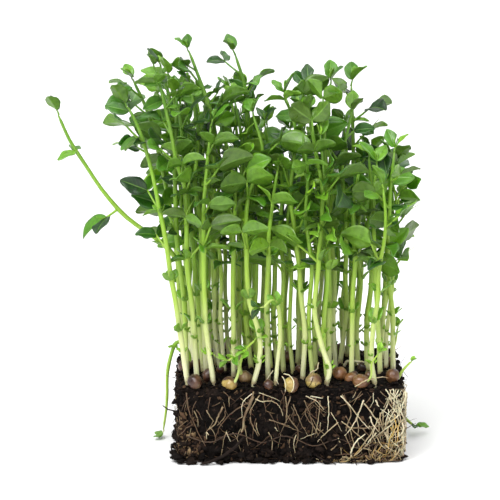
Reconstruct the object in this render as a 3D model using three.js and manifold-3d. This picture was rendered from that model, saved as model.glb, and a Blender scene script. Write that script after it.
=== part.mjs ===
// Pea shoot microgreens: a dense stand of young pea plants on the block of potting soil they were sown in,
// lifted out of the growing tray. Millimetres, +Z up, +X to the right and +Y away from the front face.
// The origin is the middle of the block's flat underside.
import * as THREE from "three";
import { mergeVertices } from "three/addons/utils/BufferGeometryUtils.js";
import Module from "manifold-3d";

const wasm = await Module();
wasm.setup();

// Driving dimensions
const BLOCK = { width: 125, depth: 84, height: 43 };
const LUMP_SIDE = 0.9; // how far the crumbly walls swell and sink
const LUMP_TOP = 1.1;
const CORNER_PULL = 2.2; // how far the upright corners are rubbed off
const EDGE_DROP = 1.5; // how far the top falls at its edges, and the underside's edges are tucked in
const STEM = { foot: 1.55, middle: 1.35, tip: 0.8, buried: 9, sides: 4 };
const BLADE_THICK = 0.7;
const STALK = { halfWidth: 0.5, sunk: 0.3 };
const PAIR_GAP = 0.55; // from a blade to the middle plane between it and its partner
const NARROWEST = 0.2; // share of its width that half a blade keeps where its partner crowds it

// The organs of a plant: a stalk with a blade to each side of its end. Angles are in degrees, as a least value
// and a spread: `steep` is the stalk's from the stem, `spread` a blade's from the stalk. A blade's width is
// from its midrib to its edge, and `inner` is the share of it on the side next to the other blade.
// `roll` turns a blade's face towards its partner.
const ORGANS = {
  leaf: { stalk: [9, 9], steep: [26, 28], spread: [48, 22], fold: [6, 20], curl: [-20, -30],
    roll: [-50, 90], length: 17.5, width: 6.8, inner: 1, outline: "leaflet" },
  hanging: { stalk: [8, 2], steep: [108, 8], spread: [20, 14], fold: [6, 14], curl: [-25, -15],
    roll: [-20, 40], length: 17.5, width: 7, inner: 1, outline: "leaflet" },
  stipules: { stalk: [2.4, 0], steep: [62, 16], spread: [50, 20], fold: [8, 16], curl: [-18, -25],
    roll: [-10, 30], length: 14, width: 6.2, inner: 0.4, outline: "stipule" },
  tip: { stalk: [2.6, 2], steep: [2, 16], spread: [26, 20], fold: [10, 18], curl: [-8, -14],
    roll: [30, 50], length: 14.5, width: 4.8, inner: 1, outline: "leaflet" },
};
const SEED_RADIUS = 4.4;
const SEED_MARGIN = 2.2; // from a seed to the middle of a sown stem
const HOLE_GAP = 0.4; // between a stem or a seed and the soil it stands in
const SOIL_GRID = [12, 8, 4];

// The plants that fill the stand behind the placed ones. They lean out by a share of their place from the
// middle, wander a little, and have their nodes at these shares of their height.
const SOWN = { count: 13, apart: 9.2, edge: 6, leanX: 0.09, leanY: 0.1, leanLeft: 4, wander: 7, shortest: 26,
  nodes: [0.2, 0.46, 0.65, 0.83, 1], lowLeaf: 0.5, tries: 4000 };
const STAND = { height: 188, slope: 0.28, drop: 0.4, dropFrom: 25 }; // tallest on the left, lowest on the right
const RIGHT_LIMIT = 69; // the leaves at the right end of the stand stay inside this
const LOWEST = 1.2; // how near a leaf comes to what the block stands on
const CLEAR = { stems: 3.7, blades: 2.15, stemBlade: 2.7, own: 1.9 }; // least distances between sample points

// The plants placed by hand. Each starts where it leaves the soil, at [x, y], and rises through its own nodes.
// The last `leafy` nodes bear leaves, which point to the azimuths in `aim`: 0 is +X, 90 is +Y, 180 is -X.
const PLACED = [
  { at: [-56, -37], nodes: [[-60, -37, 72], [-64, -36, 100], [-70, -32, 137], [-79, -28, 175], [-87, -25, 193]],
    leafy: 2, aim: [200, 180] },
  { at: [-53, -4], nodes: [[-55, -7, 72], [-58, -9, 97], [-68, -14, 115], [-94, -18, 137], [-116, -20, 169],
    [-125, -20, 189]], leafy: 3, aim: [215, 160, 180], bears: ["hanging", "stipules", "tip"] },
  { at: [-51, -31], nodes: [[-53, -30, 76], [-56, -28, 110], [-57, -27, 147], [-61, -26, 163], [-67, -24, 193],
    [-73, -21, 214]], leafy: 4, collars: 1, aim: [300, 190, 330, 180] },
  { at: [-41, 3], nodes: [[-42, -1, 86], [-43, -4, 123], [-42, -8, 158], [-42, -12, 183], [-47, -12, 201],
    [-55, -10, 222]], leafy: 4, aim: [200, 320, 190, 150] },
  { at: [-46, -21], nodes: [[-48, -21, 91], [-49, -20, 130], [-52, -17, 152], [-50, -15, 176], [-54, -13, 202]],
    leafy: 3, collars: 1, aim: [170, 340, 180] },
  { at: [-42, -34], nodes: [[-46, -35, 76], [-47, -35, 119], [-46, -32, 152], [-43, -28, 184]],
    leafy: 2, aim: [320, 210] },
  { at: [-20, -37], nodes: [[-17, -38, 57], [-17, -38, 72], [-22, -36, 90], [-24, -30, 117], [-23, -24, 144],
    [-15, -20, 166], [-20, -18, 188]], leafy: 3, collars: 1, aim: [250, 330, 30] },
  { at: [-8, -36], nodes: [[-6, -39, 72], [-7, -42, 88], [-11, -45, 92], [-15, -47, 89]], leafy: 1, aim: [180],
    small: true },
  { at: [20, -36], nodes: [[21, -37, 53], [16, -37, 68], [13, -36, 85], [15, -33, 110], [17, -30, 146],
    [13, -26, 172], [9, -22, 190]], leafy: 3, collars: 1, aim: [320, 200, 0] },
  { at: [7, -26], nodes: [[8, -27, 70], [6, -27, 92], [3, -25, 122], [0, -22, 149], [3, -18, 178],
    [-3, -14, 198]], leafy: 3, collars: 1, aim: [220, 350, 90] },
  { at: [29, 6], nodes: [[32, 3, 74], [31, -4, 97], [31, -11, 129], [28, -12, 160], [33, -9, 188]],
    leafy: 3, aim: [350, 200, 30] },
  { at: [46, -36], nodes: [[44, -37, 59], [45, -38, 77], [47, -37, 94], [48, -36, 111], [51, -33, 129],
    [50, -29, 150]], leafy: 3, collars: 1, aim: [200, 330, 160] },
  { at: [58, -8], nodes: [[57, -11, 75], [55, -14, 93], [53, -18, 116], [54, -20, 137], [56, -20, 169]],
    leafy: 3, collars: 1, aim: [235, 150, 60] },
  { at: [34, 22], nodes: [[35, 20, 80], [36, 18, 120], [36, 16, 150], [35, 15, 180], [34, 15, 200]],
    leafy: 2, aim: [350, 30] },
  { at: [22, -14], nodes: [[22, -15, 80], [21, -16, 115], [20, -18, 150], [18, -18, 184], [21, -16, 204]],
    leafy: 3, collars: 1, aim: [300, 190, 20] },
  { at: [-28, 9], nodes: [[-28, 6, 85], [-28, 3, 125], [-25, 1, 160], [-24, 0, 196], [-30, 0, 219]],
    leafy: 3, aim: [20, 340, 170] },
  { at: [-31, -22], nodes: [[-31, -22, 80], [-31, -22, 115], [-30, -22, 146], [-34, -20, 172]],
    leafy: 2, aim: [290, 200] },
  { at: [-12, -27], nodes: [[-13, -28, 80], [-12, -29, 112], [-11, -29, 133], [-7, -26, 160]],
    leafy: 2, aim: [200, 320] },
  { at: [34, -24], nodes: [[34, -25, 80], [35, -24, 112], [34, -24, 140], [38, -22, 164]],
    leafy: 2, collars: 1, aim: [200, 340] },
  { at: [53, 14], nodes: [[54, 12, 80], [55, 10, 115], [56, 8, 142], [57, 6, 158]], leafy: 2, aim: [100, 250] },
  { at: [-55, 15], nodes: [[-57, 12, 80], [-59, 9, 120], [-62, 7, 160], [-66, 6, 192], [-71, 6, 212]],
    leafy: 3, aim: [190, 160, 180] },
  { at: [-57, -19], nodes: [[-58, -19, 85], [-62, -18, 125], [-63, -12, 160], [-62, -9, 187], [-66, -9, 207]],
    leafy: 3, aim: [230, 30, 180] },
  { at: [5, 4], nodes: [[6, 3, 85], [8, 2, 125], [8, 0, 162], [5, -3, 188], [9, -3, 201]],
    leafy: 3, aim: [20, 300, 40] },
  { at: [50, -21], nodes: [[48, -22, 78], [46, -23, 110], [45, -22, 136], [47, -19, 160]], leafy: 2,
    aim: [250, 120] },
  { at: [-60, 24], nodes: [[-62, 22, 85], [-66, 18, 125], [-72, 14, 158], [-78, 10, 184], [-86, 8, 204]],
    leafy: 3, aim: [200, 150, 180] },
  { at: [-48, -12], nodes: [[-51, -12, 85], [-54, -12, 125], [-57, -14, 155], [-59, -15, 180], [-62, -14, 198]],
    leafy: 3, aim: [210, 330, 180] },
  { at: [-55, 6], nodes: [[-59, 6, 54], [-64, 5, 55], [-68, 5, 42], [-69, 4, 25], [-71, 4, 5]], leafy: 1,
    aim: [190], small: true },
];

// A shoot that sprouted low through the right wall of the roots and lies along the surface.
const LOW_SHOOT = { at: [60, 24, 8], nodes: [[67, 20, 7], [72, 12, 5]], leafy: 1, aim: [300], small: true,
  limit: 84 };

// Pea seeds, [x, y, height of the middle above the soil, size]. Those that touch are one node.
const SEED_GROUPS = [
  [[-52, -41.2, 2.5, 1.05]],
  [[-44.5, -27.5, 2.8, 0.95]],
  [[-33, -38.5, 1.2, 1.05]],
  [[-24.5, -30.5, 2.6, 1.0]],
  [[-12, -41, 1.4, 0.75]],
  [[0.5, -41.3, 1.4, 1.1]],
  [[12.5, -37.5, 2.4, 1.05]],
  [[27, -30, 4.6, 1.05], [33.5, -31.5, 2.4, 0.85]],
  [[38.5, -38.5, 2.2, 1.05]],
  [[56, -32, 3.2, 1.0]],
  [[-58.5, -11, 2.6, 1.0]],
  [[-33, 37, 2.6, 1.05]],
  [[18, 37, 2.6, 1.0]],
];

// Thick roots on the front and right walls, as [place round the wall, height] at each bend. The place runs
// along the front, as x does, and past the corner at half the block's width on along the right wall.
const ROOT = { thick: 0.55, off: 1.35, sides: 3 };
const ROOTS = [
  [[-58, 15], [-44, 12], [-30, 17], [-16, 12], [-2, 16], [12, 10], [26, 14], [40, 9], [52, 13], [72, 11],
    [86, 16], [100, 10]],
  [[-20, 41], [-21, 36], [-24, 30], [-25, 22], [-23, 10]],
  [[-22, 35], [-30, 30], [-38, 22], [-42, 11]],
  [[-57, 40], [-56, 30], [-52, 20], [-46, 8]],
  [[0, 38], [-2, 28], [4, 19], [3, 9]],
  [[14, 37], [8, 29], [13, 20], [20, 8]],
  [[28, 39], [33, 29], [30, 18], [34, 6]],
  [[36, 5], [44, 16], [50, 28], [54, 37]],
  [[40, 34], [47, 25], [53, 16], [58, 6]],
  [[30, 21], [42, 20], [55, 23], [72, 24], [84, 18], [90, 8]],
];

const COLOURS = {
  soil: "#2a1d17",
  root: "#d9cdb0",
  seed: "#6b4630",
  shoot: "#5f9a35",
};

// A seeded linear congruential generator, so that the stand grows the same way every time.
function seededRandom(seed) {
  let state = seed >>> 0;
  return () => {
    state = (Math.imul(state, 1664525) + 1013904223) >>> 0;
    return state / 4294967296;
  };
}

const vec = (x, y, z) => new THREE.Vector3(x, y, z);
const radians = (degrees) => (degrees * Math.PI) / 180;
const compass = (degrees) => vec(Math.cos(radians(degrees)), Math.sin(radians(degrees)), 0);

// Soil

// Slow swells of the crumbly surface, between about -1 and 1.
function lump(x, y, z) {
  return (
    0.45 * Math.sin(0.17 * x + 0.11 * z + 0.6) +
    0.3 * Math.sin(0.21 * y - 0.15 * x + 2.1) +
    0.35 * Math.sin(0.19 * z + 0.2 * x + 0.18 * y)
  );
}

function soilTop(x, y) {
  return BLOCK.height + LUMP_TOP * lump(x, y, BLOCK.height);
}

// Moves a point of the plain box to the lumpy block. The underside stays flat.
function weathered(p) {
  const across = p.x / (BLOCK.width / 2);
  const deep = p.y / (BLOCK.depth / 2);
  const swell = LUMP_SIDE * lump(p.x, p.y, p.z);
  const corner = CORNER_PULL * Math.abs(across * deep) ** 3;
  const tuck = p.z < 1 ? EDGE_DROP : 0;
  const out = vec(p.x, p.y, p.z);
  out.x += Math.sign(across) * Math.abs(across) ** 4 * (swell - corner - tuck);
  out.y += Math.sign(deep) * Math.abs(deep) ** 4 * (swell - corner - tuck);
  const toEdge = Math.max(Math.abs(across), Math.abs(deep));
  if (p.z > BLOCK.height - 1) out.z = soilTop(p.x, p.y) - EDGE_DROP * toEdge ** 8;
  return out;
}

function soilBody() {
  const box = new THREE.BoxGeometry(BLOCK.width, BLOCK.depth, BLOCK.height, ...SOIL_GRID);
  box.translate(0, 0, BLOCK.height / 2);
  const position = box.getAttribute("position");
  for (let i = 0; i < position.count; i++) {
    const p = weathered(vec(0, 0, 0).fromBufferAttribute(position, i));
    position.setXYZ(i, p.x, p.y, p.z);
  }
  return solid(box);
}

// Solids

// A closed geometry as a solid body.
function solid(geometry) {
  const bare = geometry.index ? geometry.toNonIndexed() : geometry.clone();
  bare.deleteAttribute("normal");
  bare.deleteAttribute("uv");
  const merged = mergeVertices(bare, 1e-4);
  return new wasm.Manifold(
    new wasm.Mesh({
      numProp: 3,
      vertProperties: new Float32Array(merged.attributes.position.array),
      triVerts: new Uint32Array(merged.index.array),
    }),
  );
}

function geometryOf(body) {
  const mesh = body.getMesh();
  const geometry = new THREE.BufferGeometry();
  geometry.setAttribute("position", new THREE.BufferAttribute(mesh.vertProperties, 3));
  geometry.setIndex(new THREE.BufferAttribute(mesh.triVerts, 1));
  return geometry;
}

function geometryFrom(points, faces) {
  const geometry = new THREE.BufferGeometry();
  const coordinates = points.flatMap((p) => [p.x, p.y, p.z]);
  geometry.setAttribute("position", new THREE.Float32BufferAttribute(coordinates, 3));
  geometry.setIndex(faces.flat());
  return geometry;
}

function largestPiece(body) {
  return body.decompose().reduce((a, b) => (b.volume() > a.volume() ? b : a));
}

// A tube with few sides through `centres`, closed at both ends, that takes each ring's own radius.
function taperedTube(centres, radii, sides) {
  const points = [];
  const faces = [];
  let across = vec(1, 0.3, 0);
  centres.forEach((centre, i) => {
    const before = centres[Math.max(i - 1, 0)];
    const after = centres[Math.min(i + 1, centres.length - 1)];
    const along = after.clone().sub(before).normalize();
    across = across.clone().addScaledVector(along, -across.dot(along)).normalize();
    const up = along.clone().cross(across);
    for (let k = 0; k < sides; k++) {
      const turn = (2 * Math.PI * k) / sides;
      const point = centre.clone().addScaledVector(across, radii[i] * Math.cos(turn));
      points.push(point.addScaledVector(up, radii[i] * Math.sin(turn)));
    }
  });
  for (let i = 0; i < centres.length - 1; i++) {
    for (let k = 0; k < sides; k++) {
      const a = i * sides + k;
      const b = i * sides + ((k + 1) % sides);
      faces.push([a, b, b + sides], [a, b + sides, a + sides]);
    }
  }
  const last = (centres.length - 1) * sides;
  for (let k = 1; k < sides - 1; k++) faces.push([0, k + 1, k], [last, last + k, last + k + 1]);
  return geometryFrom(points, faces);
}

// A thin sheet of triangles given a thickness, with the same triangles on both faces.
function thickened(points, triangles) {
  const normals = points.map(() => vec(0, 0, 0));
  const rim = new Map();
  for (const [a, b, c] of triangles) {
    const normal = points[b].clone().sub(points[a]).cross(points[c].clone().sub(points[a])).normalize();
    for (const [from, to] of [[a, b], [b, c], [c, a]]) {
      normals[from].add(normal);
      if (!rim.delete(`${to} ${from}`)) rim.set(`${from} ${to}`, [from, to]);
    }
  }
  const half = BLADE_THICK / 2;
  for (const normal of normals) normal.setLength(half);
  const shifted = (side) => points.map((p, i) => p.clone().addScaledVector(normals[i], side));
  const n = points.length;
  const faces = triangles.flatMap(([a, b, c]) => [[a, b, c], [a + n, c + n, b + n]]);
  for (const [from, to] of rim.values()) faces.push([from, from + n, to + n], [from, to + n, to]);
  return geometryFrom([...shifted(1), ...shifted(-1)], faces);
}

// Leaf blades

// Share of the full half width at t, which runs from a blade's foot to its tip.
const OUTLINES = {
  leaflet: (t) => Math.sin(Math.PI * t ** 0.85) ** 0.6,
  stipule: (t) => Math.sin(Math.PI * t ** 0.6) ** 0.65,
};

// How far half a blade reaches at t, along `edge`. It stays on its own side of the stalk, off its partner.
function reachAt(blade, t, midrib, edge) {
  const full = blade.width * OUTLINES[blade.outline](t);
  const towardPartner = -edge.dot(blade.outward);
  if (towardPartner <= 0) return full;
  const room = midrib.clone().sub(blade.foot).dot(blade.outward) - PAIR_GAP * Math.min(1, t / 0.2);
  return Math.min(full, Math.max(room / towardPartner, NARROWEST * full));
}

// A place on a blade: u runs from one edge, -1, over the midrib, 0, to the other edge, 1.
function bladePoint(blade, t, u) {
  const bend = blade.curl * t;
  const along = (blade.length * Math.sin(bend)) / blade.curl;
  const lift = (blade.length * (1 - Math.cos(bend))) / blade.curl;
  const up = blade.normal.clone().multiplyScalar(Math.cos(bend)).addScaledVector(blade.direction, -Math.sin(bend));
  const side = u < 0 ? -blade.shares[0] : blade.shares[1];
  const edge = blade.lateral.clone().multiplyScalar(side * Math.cos(blade.fold));
  edge.addScaledVector(up, Math.sin(blade.fold));
  const midrib = blade.foot.clone().addScaledVector(blade.direction, along).addScaledVector(blade.normal, lift);
  return midrib.clone().addScaledVector(edge, Math.abs(u) * reachAt(blade, t, midrib, edge));
}

function makeBlade(organ, stalk, direction, normal, size, fold, curl, hand) {
  const along = direction.clone().normalize();
  const up = normal.clone().addScaledVector(along, -normal.dot(along)).normalize();
  const shares = hand > 0 ? [organ.inner, 1] : [1, organ.inner];
  return {
    foot: stalk.end, outward: stalk.lateral.clone().multiplyScalar(hand), outline: organ.outline, hand, shares,
    direction: along, normal: up, lateral: along.clone().cross(up), length: organ.length * size,
    width: organ.width * size, fold: radians(fold), curl: radians(curl),
  };
}

// The coarse outline of a blade: two places on each edge and the tip, fanned round one place on the midrib.
const EDGE_STEPS = { leaflet: [0.24, 0.68], stipule: [0.14, 0.58] };

function bladeRing(blade) {
  const [low, high] = EDGE_STEPS[blade.outline];
  return [[low, -1], [high, -1], [1, 0], [high, 1], [low, 1]].map(([t, u]) => bladePoint(blade, t, u));
}

// A stalk with its blades, as one thin sheet: the blades grow from the two halves of the stalk's end.
function organBody({ stalk, blades }) {
  const half = STALK.halfWidth;
  const { end, lateral } = stalk;
  const sunk = stalk.foot.clone().addScaledVector(stalk.along, -STALK.sunk);
  const points = [
    sunk.clone().addScaledVector(lateral, half), sunk.clone().addScaledVector(lateral, -half),
    end.clone().addScaledVector(lateral, half), end.clone(), end.clone().addScaledVector(lateral, -half),
  ];
  const triangles = [[0, 3, 1], [0, 2, 3], [1, 3, 4]];
  for (const blade of blades) {
    const [near, far] = blade.hand > 0 ? [3, 2] : [4, 3];
    const ring = [near, ...bladeRing(blade).map((p) => points.push(p) - 1), far];
    const middle = points.push(bladePoint(blade, 0.45, 0)) - 1;
    for (let i = 0; i < ring.length - 1; i++) triangles.push([ring[i], middle, ring[i + 1]]);
    triangles.push([far, middle, near]);
  }
  return solid(thickened(points, triangles));
}

// Growing the stand

// Points already taken, in cells, so that a new stem, stalk or blade is only tried against its neighbours.
const CELL = 4; // no smaller than the largest of CLEAR
const taken = new Map();

function cellOf(p) {
  return [Math.floor(p.x / CELL), Math.floor(p.y / CELL), Math.floor(p.z / CELL)];
}

function take(owner, points, isStem) {
  for (const p of points) {
    const key = cellOf(p).join();
    if (!taken.has(key)) taken.set(key, []);
    taken.get(key).push({ owner, isStem, p });
  }
}

// The least distance between two sample points. The organs of one plant may meet near its stem.
function leastApart(owner, p, isStem, other) {
  if (other.owner === owner) return p.far ? CLEAR.own : 0;
  if (isStem && other.isStem) return CLEAR.stems;
  return isStem || other.isStem ? CLEAR.stemBlade : CLEAR.blades;
}

function isClear(owner, points, isStem) {
  return points.every((p) => {
    if (p.x > (owner.limit ?? RIGHT_LIMIT) || p.z < LOWEST) return false;
    const [cx, cy, cz] = cellOf(p);
    for (let x = cx - 1; x <= cx + 1; x++) {
      for (let y = cy - 1; y <= cy + 1; y++) {
        for (let z = cz - 1; z <= cz + 1; z++) {
          for (const other of taken.get([x, y, z].join()) ?? []) {
            if (other.p.distanceTo(p) < leastApart(owner, p, isStem, other)) return false;
          }
        }
      }
    }
    return true;
  });
}

function bladeSamples(blade) {
  const points = [];
  for (let i = 1; i <= 9; i++) {
    for (let k = -3; k <= 3; k++) points.push(Object.assign(bladePoint(blade, i / 9.2, k / 3), { far: i > 3 }));
  }
  return points;
}

function stalkSamples(stalk) {
  const long = stalk.foot.distanceTo(stalk.end);
  const points = [];
  for (let reach = 3; reach < long; reach += 1.6) {
    points.push(stalk.foot.clone().addScaledVector(stalk.along, reach));
  }
  return points;
}

function stemCurve(plant) {
  const [x, y, height = soilTop(x, y) + 1] = plant.at;
  const knots = [vec(x, y, height), ...plant.nodes.map((n) => vec(...n))];
  return new THREE.CatmullRomCurve3(knots, false, "catmullrom", 0.5);
}

function stemSamples(curve) {
  const count = Math.ceil(curve.points.at(-1).distanceTo(curve.points[0]) / 1.6);
  return Array.from({ length: count + 1 }, (_, i) => curve.getPoint(i / count));
}

function standHeight(x) {
  return STAND.height - STAND.slope * x - STAND.drop * Math.max(0, x - STAND.dropFrom);
}

function distanceBetween([xa, ya], [xb, yb]) {
  return Math.hypot(xa - xb, ya - yb);
}

// A plant that nobody placed, at a random place in the soil.
function sownPlant(random) {
  const x = (random() - 0.5) * (BLOCK.width - 2 * SOWN.edge);
  const y = (random() - 0.5) * (BLOCK.depth - 2 * SOWN.edge);
  const rise = standHeight(x) - SOWN.shortest * random() - BLOCK.height;
  const leanX = SOWN.leanX * x - SOWN.leanLeft + SOWN.wander * (random() - 0.5);
  const leanY = SOWN.leanY * y + SOWN.wander * (random() - 0.5);
  const nodes = SOWN.nodes.map((share, i) => {
    const zigzag = (i % 2 ? 1 : -1) * (0.6 + random());
    return [x + leanX * share + zigzag, y + leanY * share, BLOCK.height + rise * share];
  });
  const turn = 360 * random();
  const aim = [turn, turn + 170, turn + 350, turn + 520];
  const plant = { at: [x, y], nodes, leafy: random() < SOWN.lowLeaf ? 4 : 3, collars: 0, aim };
  plant.curve = stemCurve(plant);
  return plant;
}

// The plants scattered over the free soil.
function sownPlants(random, plants) {
  const seeds = SEED_GROUPS.flat();
  const sown = [];
  for (let tries = 0; sown.length < SOWN.count && tries < SOWN.tries; tries++) {
    const plant = sownPlant(random);
    const crowded = [...plants, ...sown].some((other) => distanceBetween(other.at, plant.at) < SOWN.apart);
    const onSeed = seeds.some((seed) => distanceBetween(seed, plant.at) < SEED_RADIUS * seed[3] + SEED_MARGIN);
    if (crowded || onSeed || !isClear(plant, stemSamples(plant.curve), true)) continue;
    take(plant, stemSamples(plant.curve), true);
    sown.push(plant);
  }
  return sown;
}

// What is tried in turn, in degrees, until an organ is clear of the rest of the stand.
const TURNS = [0, 35, -35, 70, -70, 110, -110, 150, -150, 180];
const STALK_TILTS = [0, -15, 15];
const BLADE_TILTS = [0, 22, -22, 44, -44];
const WIDENINGS = [0, 10, -12];
const SHARES = [1, 0.85, 0.7]; // of the blade's size

function between([least, spread], random) {
  return least + spread * random();
}

function makeStalk(foot, rise, azimuth, steep, long) {
  const out = compass(azimuth);
  const along = rise.clone().multiplyScalar(Math.cos(radians(steep)));
  along.addScaledVector(out, Math.sin(radians(steep))).normalize();
  const normal = rise.clone().addScaledVector(out, -0.3);
  normal.addScaledVector(along, -normal.dot(along)).normalize();
  const end = foot.clone().addScaledVector(along, long);
  return { foot, end, along, normal, lateral: along.clone().cross(normal) };
}

// The first making of a blade that is clear, or null.
function growBlade(plant, organ, stalk, { hand, spread, size, fold, curl, roll }) {
  for (const share of SHARES) {
    for (const tilt of BLADE_TILTS) {
      for (const wider of WIDENINGS) {
        const direction = stalk.along.clone().multiplyScalar(Math.cos(radians(spread + wider)));
        direction.addScaledVector(stalk.lateral, hand * Math.sin(radians(spread + wider)));
        direction.applyAxisAngle(stalk.along, radians(hand * tilt));
        const normal = stalk.normal.clone().applyAxisAngle(stalk.along, radians(hand * (tilt - roll)));
        const blade = makeBlade(organ, stalk, direction, normal, size * share, fold, curl, hand);
        if (isClear(plant, bladeSamples(blade), false)) return blade;
      }
    }
  }
  return null;
}

// A stalk and the pair of blades spread at its end, turned about the stem until both blades have room, or
// else with the one that has.
function growOrgan(random, plant, kind, foot, rise, azimuth, plantSize) {
  const organ = ORGANS[kind];
  const long = between(organ.stalk, random) * plantSize;
  const steep = between(organ.steep, random);
  const draws = [1, -1].map((hand) => ({
    hand,
    spread: between(organ.spread, random),
    size: plantSize * (0.85 + 0.3 * random()),
    fold: between(organ.fold, random),
    curl: between(organ.curl, random),
    roll: between(organ.roll, random),
  }));
  let best = null;
  for (const turn of TURNS) {
    for (const tilt of STALK_TILTS) {
      if (best && best.blades.length === 2) break;
      const stalk = makeStalk(foot, rise, azimuth + turn, steep + tilt, long);
      if (!isClear(plant, stalkSamples(stalk), false)) continue;
      const blades = draws.map((draw) => growBlade(plant, organ, stalk, draw)).filter(Boolean);
      if (blades.length > (best ? best.blades.length : 0)) best = { kind, stalk, blades };
    }
  }
  if (!best) return null;
  take(plant, stalkSamples(best.stalk), false);
  for (const blade of best.blades) take(plant, bladeSamples(blade), false);
  return best;
}

function growPlant(random, plant) {
  const { curve } = plant;
  const count = plant.nodes.length;
  plant.organs = [];
  for (let k = 0; k < plant.leafy; k++) {
    const index = count - plant.leafy + 1 + k;
    const foot = curve.points[index];
    const rise = curve.getTangent(index / count);
    rise.z += 0.5;
    rise.normalize();
    const size = (plant.small ? 0.5 : 1) * (1 - 0.1 * k);
    const last = k === plant.leafy - 1;
    const grown = last ? ["tip"] : k < plant.collars ? ["leaf", "stipules"] : ["leaf"];
    for (const kind of plant.bears ? [plant.bears[k]] : grown) {
      const organ = growOrgan(random, plant, kind, foot, rise, plant.aim[k], size);
      if (organ) plant.organs.push(organ);
    }
  }
}

function growStand() {
  const random = seededRandom(2027);
  for (const plant of [...PLACED, LOW_SHOOT]) {
    plant.collars ??= 0;
    plant.curve = stemCurve(plant);
    take(plant, stemSamples(plant.curve), true);
  }
  const plants = [...PLACED, LOW_SHOOT, ...sownPlants(random, PLACED)];
  for (const plant of plants) growPlant(random, plant);
  return plants;
}

// Making the solids of a plant

function stemRadius(share) {
  return share < 0.5
    ? THREE.MathUtils.lerp(STEM.foot, STEM.middle, share * 2)
    : THREE.MathUtils.lerp(STEM.middle, STEM.tip, share * 2 - 1);
}

// A place on the line that the stem takes through the soil, straight down or, from the wall, straight in.
function buriedEnd(plant, depth) {
  const collar = plant.curve.points[0];
  return plant === LOW_SHOOT ? collar.clone().setX(collar.x - depth) : collar.clone().setZ(collar.z - 1 - depth);
}

function plantBody(plant) {
  const spans = plant.nodes.length;
  const steps = Math.max(6, spans);
  const centres = [buriedEnd(plant, STEM.buried)];
  const radii = [STEM.foot * 0.8];
  for (let i = 0; i <= steps; i++) {
    centres.push(plant.curve.getPoint(i / steps));
    radii.push(stemRadius(i / steps) * (plant.small ? 0.8 : 1));
  }
  let body = solid(taperedTube(centres, radii, STEM.sides));
  for (const organ of plant.organs) body = body.add(organBody(organ));
  return largestPiece(body);
}

// Seeds

function seedMiddle([x, y, above]) {
  return vec(x, y, soilTop(x, Math.max(y, -BLOCK.depth / 2 + 2)) + above);
}

function seedBody(seed, extra) {
  const geometry = new THREE.SphereGeometry(1, 7, 4);
  const radius = SEED_RADIUS * seed[3] + extra;
  const middle = seedMiddle(seed);
  geometry.scale(radius * 1.04, radius, radius * 0.95);
  geometry.rotateZ(seed[0]);
  geometry.translate(middle.x, middle.y, middle.z);
  return solid(geometry);
}

// Roots

// A place on the front or right wall, a little off the soil. See ROOTS.
function wallPlace(along, height) {
  const corner = BLOCK.width / 2;
  if (along <= corner - 3) {
    const p = weathered(vec(along, -BLOCK.depth / 2, height));
    return p.setY(p.y - ROOT.off);
  }
  if (along < corner + 5) return vec(corner + 0.8, -BLOCK.depth / 2 - 0.8, height);
  const p = weathered(vec(corner, along - corner - BLOCK.depth / 2, height));
  return p.setX(p.x + ROOT.off);
}

function rootBody(bends) {
  const centres = bends.flatMap(([along, height], i) => {
    const next = bends[i + 1];
    const turnsCorner = next && along < BLOCK.width / 2 && next[0] > BLOCK.width / 2;
    const here = wallPlace(along, height);
    return turnsCorner ? [here, wallPlace(BLOCK.width / 2, (height + next[1]) / 2)] : [here];
  });
  const radii = centres.map((_, i) => ROOT.thick * (1.2 - (0.7 * i) / centres.length));
  return solid(taperedTube(centres, radii, ROOT.sides));
}

// Building the group

const plants = growStand();
const part = new THREE.Group();
const finishes = {
  soil: new THREE.MeshStandardMaterial({ color: COLOURS.soil, roughness: 1, metalness: 0 }),
  root: new THREE.MeshStandardMaterial({ color: COLOURS.root, roughness: 0.8, metalness: 0 }),
  seed: new THREE.MeshStandardMaterial({ color: COLOURS.seed, roughness: 0.55, metalness: 0 }),
  shoot: new THREE.MeshStandardMaterial({ color: COLOURS.shoot, roughness: 0.5, metalness: 0 }),
};

function addNode(name, body, finish) {
  const mesh = new THREE.Mesh(geometryOf(body), finish);
  mesh.name = name;
  part.add(mesh);
}

let soil = soilBody();
for (const plant of plants) {
  const hole = [buriedEnd(plant, STEM.buried + 1), buriedEnd(plant, -5)];
  const radius = STEM.foot + HOLE_GAP;
  soil = soil.subtract(solid(taperedTube(hole, [radius, radius], STEM.sides)));
}
SEED_GROUPS.forEach((group, i) => {
  for (const seed of group) soil = soil.subtract(seedBody(seed, HOLE_GAP));
  addNode(`seeds_${i + 1}`, group.map((seed) => seedBody(seed, 0)).reduce((a, b) => a.add(b)), finishes.seed);
});
addNode("soil_block", largestPiece(soil), finishes.soil);
addNode("root_web", largestPiece(ROOTS.map(rootBody).reduce((a, b) => a.add(b))), finishes.root);
plants.forEach((plant, i) => addNode(`shoot_${i + 1}`, plantBody(plant), finishes.shoot));

export default part;
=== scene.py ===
"""Pea shoot microgreens on the block of soil they were sown in, dressed for rendering.

Lengths are in millimetres until a mesh is made, which turns them into metres. +Z is up, -Y is the front.
The stand is grown again by the rules that the solids were grown by, and each shoot's own solid then says
which of the tried places its leaves took.
"""
import math

import bpy
import numpy as np
from mathutils import Matrix, Vector, noise
from mathutils.kdtree import KDTree


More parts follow.
